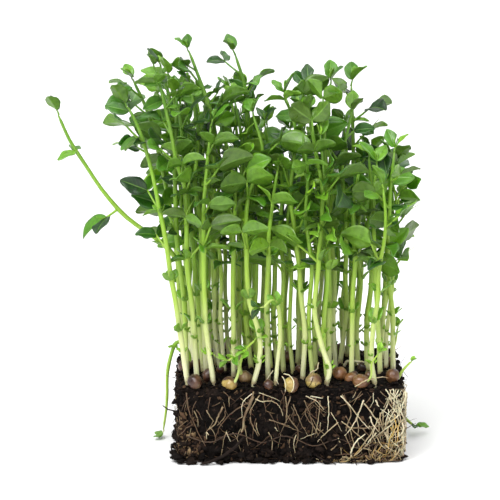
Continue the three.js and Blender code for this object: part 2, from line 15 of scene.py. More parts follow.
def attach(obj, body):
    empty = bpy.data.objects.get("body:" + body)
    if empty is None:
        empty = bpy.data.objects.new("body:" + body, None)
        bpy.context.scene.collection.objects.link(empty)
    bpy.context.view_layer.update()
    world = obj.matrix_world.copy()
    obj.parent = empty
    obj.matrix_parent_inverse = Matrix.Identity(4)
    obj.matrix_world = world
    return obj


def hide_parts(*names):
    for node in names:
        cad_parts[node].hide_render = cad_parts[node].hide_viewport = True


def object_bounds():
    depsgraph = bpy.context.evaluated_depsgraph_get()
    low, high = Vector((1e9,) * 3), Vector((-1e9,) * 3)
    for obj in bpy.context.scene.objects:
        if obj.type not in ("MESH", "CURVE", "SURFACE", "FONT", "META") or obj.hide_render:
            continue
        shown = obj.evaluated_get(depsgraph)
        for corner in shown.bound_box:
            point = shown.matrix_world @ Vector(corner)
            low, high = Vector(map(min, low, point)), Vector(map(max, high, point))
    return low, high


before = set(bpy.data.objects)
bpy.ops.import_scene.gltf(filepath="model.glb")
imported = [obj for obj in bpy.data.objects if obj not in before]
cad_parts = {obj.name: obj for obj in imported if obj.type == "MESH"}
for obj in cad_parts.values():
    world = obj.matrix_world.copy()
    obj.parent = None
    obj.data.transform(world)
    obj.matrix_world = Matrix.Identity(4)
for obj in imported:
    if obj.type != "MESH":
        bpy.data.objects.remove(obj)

cad_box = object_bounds()
MM = 0.001
noise.seed_set(2027)  # unseeded, noise_vector starts from the clock

# The rules of the stand, as in the solids
BLOCK = Vector((125, 84, 43))
LUMP_SIDE = 0.9
LUMP_TOP = 1.1
CORNER_PULL = 2.2
EDGE_DROP = 1.5
STEM_FOOT, STEM_MIDDLE, STEM_TIP = 1.55, 1.35, 0.8
PAIR_GAP = 0.55
NARROWEST = 0.2
STANDARD = dict(stalk=(9, 9), steep=(26, 28), spread=(48, 22), fold=(6, 20), curl=(-20, -30), roll=(-50, 90),
                length=17.5, width=6.8, inner=1, outline="leaflet")
ORGANS = {
    "leaf": STANDARD,
    "hanging": dict(STANDARD, stalk=(8, 2), steep=(108, 8), spread=(20, 14), fold=(6, 14), curl=(-25, -15),
                    roll=(-20, 40), width=7),
    "stipules": dict(STANDARD, stalk=(2.4, 0), steep=(62, 16), spread=(50, 20), fold=(8, 16), curl=(-18, -25),
                     roll=(-10, 30), length=14, width=6.2, inner=0.4, outline="stipule"),
    "tip": dict(STANDARD, stalk=(2.6, 2), steep=(2, 16), spread=(26, 20), fold=(10, 18), curl=(-8, -14),
                roll=(30, 50), length=14.5, width=4.8),
}
SEED_RADIUS = 4.4
SOWN = dict(count=13, edge=6, lean_x=0.09, lean_y=0.1, lean_left=4, wander=7, shortest=26,
            nodes=(0.2, 0.46, 0.65, 0.83, 1), low_leaf=0.5, tries=4000)
TURNS = (0, 35, -35, 70, -70, 110, -110, 150, -150, 180)
STALK_TILTS = (0, -15, 15)
BLADE_TILTS = (0, 22, -22, 44, -44)
WIDENINGS = (0, 10, -12)
SHARES = (1, 0.85, 0.7)
EDGE_STEPS = {"leaflet": (0.24, 0.68), "stipule": (0.14, 0.58)}
HALF_SOLID = 0.35  # half the thickness of a blade's solid

# The plants given one by one: [x, y], nodes, azimuths of the leaves, and what sets a plant apart.
PLACED = [
    ((-56, -37), [(-60, -37, 72), (-64, -36, 100), (-70, -32, 137), (-79, -28, 175), (-87, -25, 193)],
     (200, 180), {}),
    ((-53, -4), [(-55, -7, 72), (-58, -9, 97), (-68, -14, 115), (-94, -18, 137), (-116, -20, 169),
                 (-125, -20, 189)], (215, 160, 180), {"bears": ("hanging", "stipules", "tip")}),
    ((-51, -31), [(-53, -30, 76), (-56, -28, 110), (-57, -27, 147), (-61, -26, 163), (-67, -24, 193),
                  (-73, -21, 214)], (300, 190, 330, 180), {"collars": 1}),
    ((-41, 3), [(-42, -1, 86), (-43, -4, 123), (-42, -8, 158), (-42, -12, 183), (-47, -12, 201),
                (-55, -10, 222)], (200, 320, 190, 150), {}),
    ((-46, -21), [(-48, -21, 91), (-49, -20, 130), (-52, -17, 152), (-50, -15, 176), (-54, -13, 202)],
     (170, 340, 180), {"collars": 1}),
    ((-42, -34), [(-46, -35, 76), (-47, -35, 119), (-46, -32, 152), (-43, -28, 184)], (320, 210), {}),
    ((-20, -37), [(-17, -38, 57), (-17, -38, 72), (-22, -36, 90), (-24, -30, 117), (-23, -24, 144),
                  (-15, -20, 166), (-20, -18, 188)], (250, 330, 30), {"collars": 1}),
    ((-8, -36), [(-6, -39, 72), (-7, -42, 88), (-11, -45, 92), (-15, -47, 89)], (180,), {"small": True}),
    ((20, -36), [(21, -37, 53), (16, -37, 68), (13, -36, 85), (15, -33, 110), (17, -30, 146), (13, -26, 172),
                 (9, -22, 190)], (320, 200, 0), {"collars": 1}),
    ((7, -26), [(8, -27, 70), (6, -27, 92), (3, -25, 122), (0, -22, 149), (3, -18, 178), (-3, -14, 198)],
     (220, 350, 90), {"collars": 1}),
    ((29, 6), [(32, 3, 74), (31, -4, 97), (31, -11, 129), (28, -12, 160), (33, -9, 188)], (350, 200, 30), {}),
    ((46, -36), [(44, -37, 59), (45, -38, 77), (47, -37, 94), (48, -36, 111), (51, -33, 129), (50, -29, 150)],
     (200, 330, 160), {"collars": 1}),
    ((58, -8), [(57, -11, 75), (55, -14, 93), (53, -18, 116), (54, -20, 137), (56, -20, 169)],
     (235, 150, 60), {"collars": 1}),
    ((34, 22), [(35, 20, 80), (36, 18, 120), (36, 16, 150), (35, 15, 180), (34, 15, 200)], (350, 30), {}),
    ((22, -14), [(22, -15, 80), (21, -16, 115), (20, -18, 150), (18, -18, 184), (21, -16, 204)],
     (300, 190, 20), {"collars": 1}),
    ((-28, 9), [(-28, 6, 85), (-28, 3, 125), (-25, 1, 160), (-24, 0, 196), (-30, 0, 219)],
     (20, 340, 170), {}),
    ((-31, -22), [(-31, -22, 80), (-31, -22, 115), (-30, -22, 146), (-34, -20, 172)], (290, 200), {}),
    ((-12, -27), [(-13, -28, 80), (-12, -29, 112), (-11, -29, 133), (-7, -26, 160)], (200, 320), {}),
    ((34, -24), [(34, -25, 80), (35, -24, 112), (34, -24, 140), (38, -22, 164)], (200, 340), {"collars": 1}),
    ((53, 14), [(54, 12, 80), (55, 10, 115), (56, 8, 142), (57, 6, 158)], (100, 250), {}),
    ((-55, 15), [(-57, 12, 80), (-59, 9, 120), (-62, 7, 160), (-66, 6, 192), (-71, 6, 212)],
     (190, 160, 180), {}),
    ((-57, -19), [(-58, -19, 85), (-62, -18, 125), (-63, -12, 160), (-62, -9, 187), (-66, -9, 207)],
     (230, 30, 180), {}),
    ((5, 4), [(6, 3, 85), (8, 2, 125), (8, 0, 162), (5, -3, 188), (9, -3, 201)], (20, 300, 40), {}),
    ((50, -21), [(48, -22, 78), (46, -23, 110), (45, -22, 136), (47, -19, 160)], (250, 120), {}),
    ((-60, 24), [(-62, 22, 85), (-66, 18, 125), (-72, 14, 158), (-78, 10, 184), (-86, 8, 204)],
     (200, 150, 180), {}),
    ((-48, -12), [(-51, -12, 85), (-54, -12, 125), (-57, -14, 155), (-59, -15, 180), (-62, -14, 198)],
     (210, 330, 180), {}),
    ((-55, 6), [(-59, 6, 54), (-64, 5, 55), (-68, 5, 42), (-69, 4, 25), (-71, 4, 5)],
     (190,), {"small": True}),
    ((60, 24, 8), [(67, 20, 7), (72, 12, 5)], (300,), {"small": True, "low": True}),
]

# Pea seeds as [x, y, height of the middle above the soil, size]. Those that touch share a solid.
SEED_GROUPS = [
    [(-52, -41.2, 2.5, 1.05)], [(-44.5, -27.5, 2.8, 0.95)], [(-33, -38.5, 1.2, 1.05)],
    [(-24.5, -30.5, 2.6, 1.0)], [(-12, -41, 1.4, 0.75)], [(0.5, -41.3, 1.4, 1.1)], [(12.5, -37.5, 2.4, 1.05)],
    [(27, -30, 4.6, 1.05), (33.5, -31.5, 2.4, 0.85)], [(38.5, -38.5, 2.2, 1.05)], [(56, -32, 3.2, 1.0)],
    [(-58.5, -11, 2.6, 1.0)], [(-33, 37, 2.6, 1.05)], [(18, 37, 2.6, 1.0)],
]
ROOT_OFF = 1.35
ROOTS = [
    [(-58, 15), (-44, 12), (-30, 17), (-16, 12), (-2, 16), (12, 10), (26, 14), (40, 9), (52, 13), (72, 11),
     (86, 16), (100, 10)],
    [(-20, 41), (-21, 36), (-24, 30), (-25, 22), (-23, 10)],
    [(-22, 35), (-30, 30), (-38, 22), (-42, 11)],
    [(-57, 40), (-56, 30), (-52, 20), (-46, 8)],
    [(0, 38), (-2, 28), (4, 19), (3, 9)],
    [(14, 37), (8, 29), (13, 20), (20, 8)],
    [(28, 39), (33, 29), (30, 18), (34, 6)],
    [(36, 5), (44, 16), (50, 28), (54, 37)],
    [(40, 34), (47, 25), (53, 16), (58, 6)],
    [(30, 21), (42, 20), (55, 23), (72, 24), (84, 18), (90, 8)],
]


WHOLE_TURN = 6.28  # radians, for draws
SEEDS = dict(stand=2027, leaves=404, fill=77, shoots=5000, sprouts=3107, soil=91, roots=1234)


class Draws:
    """The stand's own generator, so that its draws come out the same here as in the solids."""

    def __init__(self, seed):
        self.state = seed

    def __call__(self):
        self.state = (self.state * 1664525 + 1013904223) % 4294967296
        return self.state / 4294967296

    def between(self, pair):
        return pair[0] + pair[1] * self()

    def span(self, low, high):
        return low + (high - low) * self()

    def pick(self, items):
        return items[int(self() * len(items))]

    def angle(self):
        return self.span(0, WHOLE_TURN)

    def direction(self):
        z = self.span(-1, 1)
        turn = self.span(0, 2 * math.pi)
        flat = math.sqrt(1 - z * z)
        return Vector((flat * math.cos(turn), flat * math.sin(turn), z))

    def rotation(self):
        return Matrix.Rotation(self.angle(), 3, self.direction())


def lump(x, y, z):
    return (0.45 * math.sin(0.17 * x + 0.11 * z + 0.6) + 0.3 * math.sin(0.21 * y - 0.15 * x + 2.1)
            + 0.35 * math.sin(0.19 * z + 0.2 * x + 0.18 * y))


def soil_top(x, y):
    return BLOCK.z + LUMP_TOP * lump(x, y, BLOCK.z)


def weathered(p):
    """A point of the plain box, moved to the lumpy block."""
    across = p.x / (BLOCK.x / 2)
    deep = p.y / (BLOCK.y / 2)
    swell = LUMP_SIDE * lump(p.x, p.y, p.z)
    corner = CORNER_PULL * abs(across * deep) ** 3
    tuck = EDGE_DROP if p.z < 1 else 0
    out = p.copy()
    out.x += math.copysign(abs(across) ** 4, across) * (swell - corner - tuck)
    out.y += math.copysign(abs(deep) ** 4, deep) * (swell - corner - tuck)
    if p.z > BLOCK.z - 1:
        out.z = soil_top(p.x, p.y) - EDGE_DROP * max(abs(across), abs(deep)) ** 8
    return out


class Spline:
    """A Catmull-Rom curve through its knots, the same number of shares to each span."""

    def __init__(self, knots):
        self.knots = [np.array(k, float) for k in knots]

    def at(self, share):
        knots = self.knots
        place = share * (len(knots) - 1)
        i = min(int(place), len(knots) - 2)
        w = place - i
        a, b = knots[i], knots[i + 1]
        before = knots[i - 1] if i > 0 else 2 * a - b
        after = knots[i + 2] if i + 2 < len(knots) else 2 * b - a
        from_a, to_b = (b - before) / 2, (after - a) / 2
        return (a + from_a * w + (3 * (b - a) - 2 * from_a - to_b) * w * w
                + (2 * (a - b) + from_a + to_b) * w * w * w)

    def point(self, share):
        return Vector(self.at(share))

    def tangent(self, share):
        step = self.at(min(1, share + 1e-4)) - self.at(max(0, share - 1e-4))
        return Vector(step / np.linalg.norm(step))


def outline(kind, t):
    if kind == "leaflet":
        return max(0, math.sin(math.pi * t ** 0.85)) ** 0.6
    return max(0, math.sin(math.pi * t ** 0.6)) ** 0.65


def bearing(azimuth):
    """The level direction at an azimuth in degrees."""
    return Vector((math.cos(math.radians(azimuth)), math.sin(math.radians(azimuth)), 0))


def stretched(v, stretch):
    return Vector([v[i] * stretch[i] for i in range(3)])


def turned(v, axis, degrees):
    return Matrix.Rotation(math.radians(degrees), 3, axis) @ v


class Stalk:
    def __init__(self, foot, rise, azimuth, steep, long):
        out = bearing(azimuth)
        steep = math.radians(steep)
        self.foot = foot
        self.along = (rise * math.cos(steep) + out * math.sin(steep)).normalized()
        normal = rise - 0.3 * out
        self.normal = (normal - self.along * normal.dot(self.along)).normalized()
        self.end = foot + self.along * long
        self.lateral = self.along.cross(self.normal)


class Blade:
    """One blade of a pair. t runs from its foot to its tip and u from one edge, -1, to the other, 1."""

    def __init__(self, organ, stalk, draw, share=1, tilt=0, wider=0):
        hand, spread, size, fold, curl, roll = draw
        angle = math.radians(spread + wider)
        direction = stalk.along * math.cos(angle) + stalk.lateral * (hand * math.sin(angle))
        direction = turned(direction, stalk.along, hand * tilt).normalized()
        normal = turned(stalk.normal, stalk.along, hand * (tilt - roll))
        self.kind = organ["outline"]
        self.hand = hand
        self.shares = (organ["inner"], 1) if hand > 0 else (1, organ["inner"])
        self.foot = stalk.end
        self.outward = stalk.lateral * hand
        self.direction = direction
        self.normal = (normal - direction * normal.dot(direction)).normalized()
        self.lateral = direction.cross(self.normal)
        self.length = organ["length"] * size * share
        self.width = organ["width"] * size * share
        self.fold = math.radians(fold)
        self.curl = math.radians(curl)

    def point(self, t, u):
        bend = self.curl * t
        along = self.length * math.sin(bend) / self.curl
        lift = self.length * (1 - math.cos(bend)) / self.curl
        up = self.normal * math.cos(bend) - self.direction * math.sin(bend)
        side = -self.shares[0] if u < 0 else self.shares[1]
        edge = self.lateral * (side * math.cos(self.fold)) + up * math.sin(self.fold)
        midrib = self.foot + self.direction * along + self.normal * lift
        reach = self.width * outline(self.kind, t)
        toward = -edge.dot(self.outward)
        if toward > 0:
            room = (midrib - self.foot).dot(self.outward) - PAIR_GAP * min(1, t / 0.2)
            reach = min(reach, max(room / toward, NARROWEST * reach))
        return midrib + edge * (abs(u) * reach)

    def ring(self):
        low, high = EDGE_STEPS[self.kind]
        return [self.point(t, u) for t, u in ((low, -1), (high, -1), (1, 0), (high, 1), (low, 1))]


SAME_PLACE = 0.06  # how far a corner of a solid may lie from where it is sought


class Oracle:
    """The corners of a shoot's solid. A blade's own corners lie half a thickness off its rim."""

    def __init__(self, name):
        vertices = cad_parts[name].data.vertices
        self.tree = KDTree(len(vertices))
        for i, vertex in enumerate(vertices):
            self.tree.insert(vertex.co / MM, i)
        self.tree.balance()

    def distance(self, point):
        return self.tree.find(point)[2]

    def agrees(self, blade):
        if abs(self.distance(blade.point(1, 0)) - HALF_SOLID) > SAME_PLACE:
            return False
        return sum(abs(self.distance(p) - HALF_SOLID) < SAME_PLACE for p in blade.ring()) >= 4


def organ_draws(random, organ, plant_size):
    long = random.between(organ["stalk"]) * plant_size
    steep = random.between(organ["steep"])
    hands = []
    for hand in (1, -1):
        spread = random.between(organ["spread"])
        size = plant_size * (0.85 + 0.3 * random())
        hands.append((hand, spread, size, random.between(organ["fold"]), random.between(organ["curl"]),
                      random.between(organ["roll"])))
    return long, steep, hands


def tries_of(organ, stalk, draw):
    for share in SHARES:
        for tilt in BLADE_TILTS:
            for wider in WIDENINGS:
                yield Blade(organ, stalk, draw, share, tilt, wider)


def grown_organ(random, kind, foot, rise, azimuth, plant_size, oracle):
    """The organ that the shoot's solid shows, as (kind, stalk, blades), or None."""
    organ = ORGANS[kind]
    long, steep, hands = organ_draws(random, organ, plant_size)
    best = None
    for turn in TURNS:
        for tilt in STALK_TILTS:
            stalk = Stalk(foot, rise, azimuth + turn, steep + tilt, long)
            if oracle.distance(stalk.end) > 0.6:
                continue
            found = [next((b for b in tries_of(organ, stalk, draw) if oracle.agrees(b)), None)
                     for draw in hands]
            blades = [b for b in found if b]
            if len(blades) > (len(best[2]) if best else 0):
                best = (kind, stalk, blades)
    return best


def plant_curve(at, nodes):
    top = at[2] if len(at) > 2 else soil_top(at[0], at[1]) + 1
    return Spline([(at[0], at[1], top), *nodes])


def stand_height(x):
    return 188 - 0.28 * x - 0.4 * max(0, x - 25)


def sown_draw(random):
    x = (random() - 0.5) * (BLOCK.x - 2 * SOWN["edge"])
    y = (random() - 0.5) * (BLOCK.y - 2 * SOWN["edge"])
    rise = stand_height(x) - SOWN["shortest"] * random() - BLOCK.z
    lean_x = SOWN["lean_x"] * x - SOWN["lean_left"] + SOWN["wander"] * (random() - 0.5)
    lean_y = SOWN["lean_y"] * y + SOWN["wander"] * (random() - 0.5)
    nodes = []
    for i, share in enumerate(SOWN["nodes"]):
        zigzag = (1 if i % 2 else -1) * (0.6 + random())
        nodes.append((x + lean_x * share + zigzag, y + lean_y * share, BLOCK.z + rise * share))
    turn = 360 * random()
    leafy = 4 if random() < SOWN["low_leaf"] else 3
    return (x, y), nodes, (turn, turn + 170, turn + 350, turn + 520)[:4], {"leafy": leafy}


def stand_plants():
    """Every plant of the solids, with its curve and its organs."""
    random = Draws(SEEDS["stand"])
    plants = [dict(at=at, nodes=nodes, aim=aim, curve=plant_curve(at, nodes), **more)
              for at, nodes, aim, more in PLACED]
    for _ in range(SOWN["tries"]):
        if len(plants) == len(PLACED) + SOWN["count"]:
            break
        at, nodes, aim, more = sown_draw(random)
        curve = plant_curve(at, nodes)
        oracle = Oracle(f"shoot_{len(plants) + 1}")
        if abs(oracle.distance(curve.point(0)) - STEM_FOOT) < 0.05 and oracle.distance(curve.point(1)) < 3:
            plants.append(dict(at=at, nodes=nodes, aim=aim, curve=curve, **more))
    for index, plant in enumerate(plants):
        plant["name"] = f"shoot_{index + 1}"
        oracle = Oracle(plant["name"])
        count = len(plant["nodes"])
        leafy = plant.get("leafy", len(plant["aim"]))
        plant["leafy"] = leafy
        plant["organs"] = []
        for k in range(leafy):
            at = count - leafy + 1 + k
            rise = plant["curve"].tangent(at / count)
            rise.z += 0.5
            size = (0.5 if plant.get("small") else 1) * (1 - 0.1 * k)
            if "bears" in plant:
                kinds = [plant["bears"][k]]
            elif k == leafy - 1:
                kinds = ["tip"]
            else:
                kinds = ["leaf", "stipules"] if k < plant.get("collars", 0) else ["leaf"]
            foot = Vector(plant["curve"].knots[at])
            for kind in kinds:
                organ = grown_organ(random, kind, foot, rise.normalized(), plant["aim"][k], size, oracle)
                if organ:
                    plant["organs"].append(organ)
    return plants


# Making meshes
class Growth:
    """One mesh in the making: its points, its faces, and what the materials read at each point."""

    def __init__(self):
        self.points = []
        self.faces = []
        self.slots = []
        self.tints = []
        self.places = []

    def add(self, points, faces, slot=0, tint=0.5, places=None):
        base = len(self.points)
        self.points.extend(points)
        self.faces.extend([[base + i for i in face] for face in faces])
        self.slots.extend([slot] * len(faces))
        self.tints.extend(tint if isinstance(tint, list) else [tint] * len(points))
        self.places.extend(places or [(0, 0, 0)] * len(points))

    def piece(self, name, materials, slot, replaces=()):
        mesh = bpy.data.meshes.new(name)
        mesh.from_pydata([p * MM for p in self.points], [], self.faces)
        for material in materials:
            mesh.materials.append(material)
        mesh.polygons.foreach_set("material_index", self.slots)
        mesh.polygons.foreach_set("use_smooth", [True] * len(self.faces))
        mesh.attributes.new("tint", "FLOAT", "POINT").data.foreach_set("value", self.tints)
        places = mesh.attributes.new("place", "FLOAT_VECTOR", "POINT")
        places.data.foreach_set("vector", np.array(self.places, np.float32).ravel())
        mesh.update()
        piece = bpy.data.objects.new(name, mesh)
        bpy.context.scene.collection.objects.link(piece)
        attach(piece, "root")
        if replaces:
            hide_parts(*replaces)
        return piece


def tube(growth, centres, radii, sides, slot=0, tint=0.5, places=None):
    """A closed tube through the centres."""
    points, faces = [], []
    across = Vector((1, 0.3, 0))
    count = len(centres)
    for i, centre in enumerate(centres):
        along = (centres[min(i + 1, count - 1)] - centres[max(i - 1, 0)]).normalized()
        across = (across - along * across.dot(along)).normalized()
        up = along.cross(across)
        for k in range(sides):
            turn = 2 * math.pi * k / sides
            points.append(centre + across * (radii[i] * math.cos(turn)) + up * (radii[i] * math.sin(turn)))
    for i in range(count - 1):
        for k in range(sides):
            a, b = i * sides + k, i * sides + (k + 1) % sides
            faces.append((a, b, b + sides, a + sides))
    last = (count - 1) * sides
    faces.append(tuple(reversed(range(sides))))
    faces.append(tuple(range(last, last + sides)))
    growth.add(points, faces, slot, tint, places and [place for place in places for _ in range(sides)])


U_STEPS = (-1, -0.72, -0.42, -0.15, 0, 0.15, 0.42, 0.72, 1)
T_STEPS = (0.03, 0.09, 0.18, 0.29, 0.41, 0.53, 0.65, 0.77, 0.87, 0.945, 0.985)
COARSE_U = (-1, -0.5, 0, 0.5, 1)
COARSE_T = (0.05, 0.22, 0.48, 0.74, 0.93)
LEAF_HALF = 0.16  # half the thickness of a shown leaf
CREASE = 0.22


def show_blade(growth, blade, random, slot, tint, coarse=False):
    """A blade with both faces, a crease along its midrib and a slow wave along its edges."""
    u_steps, t_steps = (COARSE_U, COARSE_T) if coarse else (U_STEPS, T_STEPS)
    wave = random.span(0.25, 0.85) * min(1, blade.width / 6)
    phase = random.angle()
    turns = random.span(1.2, 2.4)
    rows = len(t_steps)
    columns = len(u_steps)
    points, places = [], []
    for side in (1, -1):
        for t in t_steps:
            bend = blade.curl * t
            up = blade.normal * math.cos(bend) - blade.direction * math.sin(bend)
            for u in u_steps:
                lean = math.copysign(math.sin(blade.fold), u) if u else 0
                face = (up * math.cos(blade.fold) - blade.lateral * lean).normalized()
                across = u * (1 - 0.24 * max(0, t - 0.62) / 0.38 - 0.12 * max(0, 0.3 - t) / 0.3)
                lag = 1.5 if u > 0 else 0
                rise = wave * abs(u) ** 1.6 * math.sin(phase + turns * 2 * math.pi * t + lag)
                sink = CREASE * max(0, 1 - abs(u) * 4) + CREASE * 0.8 * abs(u) ** 4
                points.append(blade.point(t, across) + face * (rise - sink + side * LEAF_HALF))
                places.append((u, t, side))
    foot = len(points)
    for t in (0, 1):
        points.append(blade.point(t, 0))
        places.append((0, t, 0))
    faces = []
    for s in (0, 1):
        base = s * rows * columns
        flip = (lambda q: q) if s else (lambda q: tuple(reversed(q)))
        for i in range(rows - 1):
            for k in range(columns - 1):
                a = base + i * columns + k
                faces.append(flip((a, a + columns, a + columns + 1, a + 1)))
        for k in range(columns - 1):
            faces.append(flip((foot, base + k, base + k + 1)))
            top = base + (rows - 1) * columns + k
            faces.append(flip((top, foot + 1, top + 1)))
    under = rows * columns
    for k in (0, columns - 1):
        line = [i * columns + k for i in range(rows)]
        for a, b in zip(line, line[1:]):
            quad = (a, b, b + under, a + under)
            faces.append(quad if k == 0 else tuple(reversed(quad)))
        for end, i in ((foot, 0), (foot + 1, rows - 1)):
            a = i * columns + k
            forward = (k == 0) == (i == 0)
            faces.append((end, a, a + under) if forward else (end, a + under, a))
    growth.add(points, faces, slot, tint, places)


STEM_SLOT, LEAF_SLOT = 0, 1


def stem_radius(share):
    if share < 0.5:
        return STEM_FOOT + (STEM_MIDDLE - STEM_FOOT) * share * 2
    return STEM_MIDDLE + (STEM_TIP - STEM_MIDDLE) * (share * 2 - 1)


def show_stem(growth, plant, tint):
    curve = plant["curve"]
    count = len(plant["nodes"])
    rings = max(12, int(5.5 * count))
    scale = (0.8 if plant.get("small") else 1) * plant.get("thick", 1)
    if plant.get("low"):
        centres = [curve.point(0) - Vector((9, 0, 0)), curve.point(0) - Vector((3, 0, 0))]
    else:
        centres = [curve.point(0) - Vector((0, 0, 7)), curve.point(0) - Vector((0, 0, 2.5))]
    radii = [STEM_FOOT * 0.7 * scale, STEM_FOOT * 0.9 * scale]
    for i in range(rings + 1):
        share = i / rings
        to_node = abs(share * count - round(share * count)) / count * 35
        knee = 0.14 * math.exp(-to_node * to_node) if 0 < round(share * count) < count else 0
        p = curve.point(share)
        centres.append(p + noise.noise_vector(p / 17) * (0.55 * min(1, 6 * share)))
        radii.append(stem_radius(share) * scale * (0.97 + knee) * (0.55 if i == rings else 1))
    places = [(max(0, 1 - (p - centres[2]).length / 5), 0, 0) for p in centres]
    tube(growth, centres, radii, 8, STEM_SLOT, tint, places)


def bowed(start, end, bow, count):
    return [start.lerp(end, i / count) + bow * math.sin(math.pi * i / count) for i in range(count + 1)]


def show_stalk(growth, stalk, kind, size, random, tint):
    """The stalk, and beyond its blades the bristle or tendril that it ends in."""
    thick = (0.72 if kind in ("leaf", "hanging") else 0.6) * size
    bow = stalk.normal * random.span(-0.4, 0.4)
    centres = bowed(stalk.foot, stalk.end, bow, 5)
    tube(growth, centres, [thick * 1.25, thick, thick * 0.9, thick * 0.85, thick * 0.85, thick * 0.7], 6,
         STEM_SLOT, tint)
    if kind == "stipules":
        return
    long = random.span(7, 14) if random() < 0.22 else random.span(1.5, 3.5)
    turn = stalk.lateral * random.span(-0.25, 0.25) + stalk.normal * random.span(-0.25, 0.25)
    centres, heading = [stalk.end], stalk.along.copy()
    for _ in range(6):
        heading = (heading + turn).normalized()
        centres.append(centres[-1] + heading * (long / 6))
    tube(growth, centres, [0.34, 0.28, 0.24, 0.2, 0.16, 0.12, 0.07], 5, STEM_SLOT, tint + 0.1)


def show_organ(growth, organ, plant_tint, random):
    kind, stalk, blades = organ
    size = blades[0].length / ORGANS[kind]["length"]
    show_stalk(growth, stalk, kind, min(1, 0.5 + size * 0.5), random, plant_tint)
    for blade in blades:
        tint = min(1, max(0, plant_tint + random.span(-0.42, 0.42)))
        show_blade(growth, blade, random, LEAF_SLOT, tint)
    if kind == "tip":
        show_bud(growth, stalk, size, random, plant_tint)


BUD = dict(STANDARD, length=7.5, width=2.2, inner=1)


def show_bud(growth, stalk, size, random, tint):
    """The folded young leaves in the middle of a tip."""
    for hand in (1, -1):
        draw = (hand, random.span(6, 14), size * random.span(0.8, 1.2), 30, -6, random.span(55, 85))
        show_blade(growth, Blade(BUD, stalk, draw), random, LEAF_SLOT, min(1, tint + 0.3), True)


class Room:
    """Where the stand already is, in small cells, for what is grown only here."""

    CELL = 1.9
    AROUND = ((0, 0, 0), (1, 0, 0), (-1, 0, 0), (0, 1, 0), (0, -1, 0), (0, 0, 1), (0, 0, -1))

    def __init__(self):
        self.cells = {}

    def cell(self, p):
        return tuple(int(p[i] // self.CELL) for i in range(3))

    def take(self, owner, points):
        for p in points:
            self.cells.setdefault(self.cell(p), owner)

    def free(self, owner, points, wide=False):
        for p in points:
            x, y, z = self.cell(p)
            for dx, dy, dz in self.AROUND if wide else self.AROUND[:1]:
                if self.cells.get((x + dx, y + dy, z + dz), owner) != owner:
                    return False
        return True


def blade_points(blade):
    return [blade.point(i / 9.5, k / 4) for i in range(2, 10) for k in range(-4, 5)]


def line_points(start, end, step=1.2, skip=2.5):
    long = (end - start).length
    count = max(1, int((long - skip) / step))
    if long <= skip:
        return []
    return [start.lerp(end, (skip + (long - skip) * i / count) / long) for i in range(count + 1)]


def stem_points(curve, step=1.3):
    count = int((curve.point(1) - curve.point(0)).length / step)
    return [curve.point(i / count) for i in range(count + 1)]


def take_organ(room, owner, stalk, blades):
    room.take(owner, line_points(stalk.foot, stalk.end))
    for blade in blades:
        room.take(owner, blade_points(blade))


def fits_box(points):
    """Whether the points are in the solids' box. On the right only a low leaf reaches its last 8 mm."""
    low, high = cad_box[0] / MM, cad_box[1] / MM
    return all(low.x + 1 < p.x < high.x - 8 and low.y < p.y < high.y and p.z < high.z - 1 for p in points)


# Leaves grown only here: narrower, and folded and curled in more ways.
ADDED = {kind: dict(organ, width=organ["width"] * 0.84, fold=(6, 38), curl=(-45, 55), roll=(-65, 120))
         for kind, organ in ORGANS.items()}


def added_organ(room, random, owner, kind, foot, rise, azimuth, size, wide=True):
    """An organ grown only here, where there is room for it, or None."""
    organ = ADDED[kind]
    long, steep, hands = organ_draws(random, organ, size)
    best = None
    for turn in TURNS:
        stalk = Stalk(foot, rise, azimuth + turn, steep, long)
        if not room.free(owner, line_points(stalk.foot, stalk.end)):
            continue
        blades = []
        for draw in hands:
            for tilt in BLADE_TILTS:
                blade = Blade(organ, stalk, draw, 1, tilt, 0)
                points = blade_points(blade)
                if fits_box(points) and room.free(owner, points, wide):
                    blades.append(blade)
                    break
        if len(blades) > (len(best[1]) if best else 0):
            best = (stalk, blades)
        if best and len(best[1]) == 2:
            break
    if not best:
        return None
    take_organ(room, owner, *best)
    return (kind, *best)


SCALE = dict(STANDARD, length=3.8, width=1.5, inner=0.8)
LOW_SCALES = 72  # the height below which scales stay small and pale


def show_scales(growth, plant, random, tint):
    """The small three-pointed scales at the nodes below the leaves."""
    count = len(plant["nodes"])
    spots = [(i / count, Vector(plant["curve"].knots[i])) for i in range(1, count - plant["leafy"] + 1)]
    if plant.get("small"):
        spots = spots[1:2]
    else:
        spots.append((0.12, plant["curve"].point(0.12)))
    for share, foot in spots:
        rise = plant["curve"].tangent(share)
        azimuth = random.span(0, 360)
        low = foot.z < LOW_SCALES
        grown = 1 if low else random.span(1.5, 2.3)
        shade = (1.0 if low else 0.55) + 0.5 * tint
        for turn, size in ((0, random.span(0.7, 1.25)), (random.span(150, 210), random.span(0.5, 0.9))):
            size *= grown
            radius = stem_radius(share)
            out = bearing(azimuth + turn)
            stalk = Stalk(foot + out * (radius * 0.7), rise, azimuth + turn, random.span(18, 40), 0.9 * size)
            for hand in (1, -1):
                draw = (hand, random.span(8, 26), size, 12, -15, random.span(-10, 30))
                show_blade(growth, Blade(SCALE, stalk, draw), random, LEAF_SLOT, shade, True)


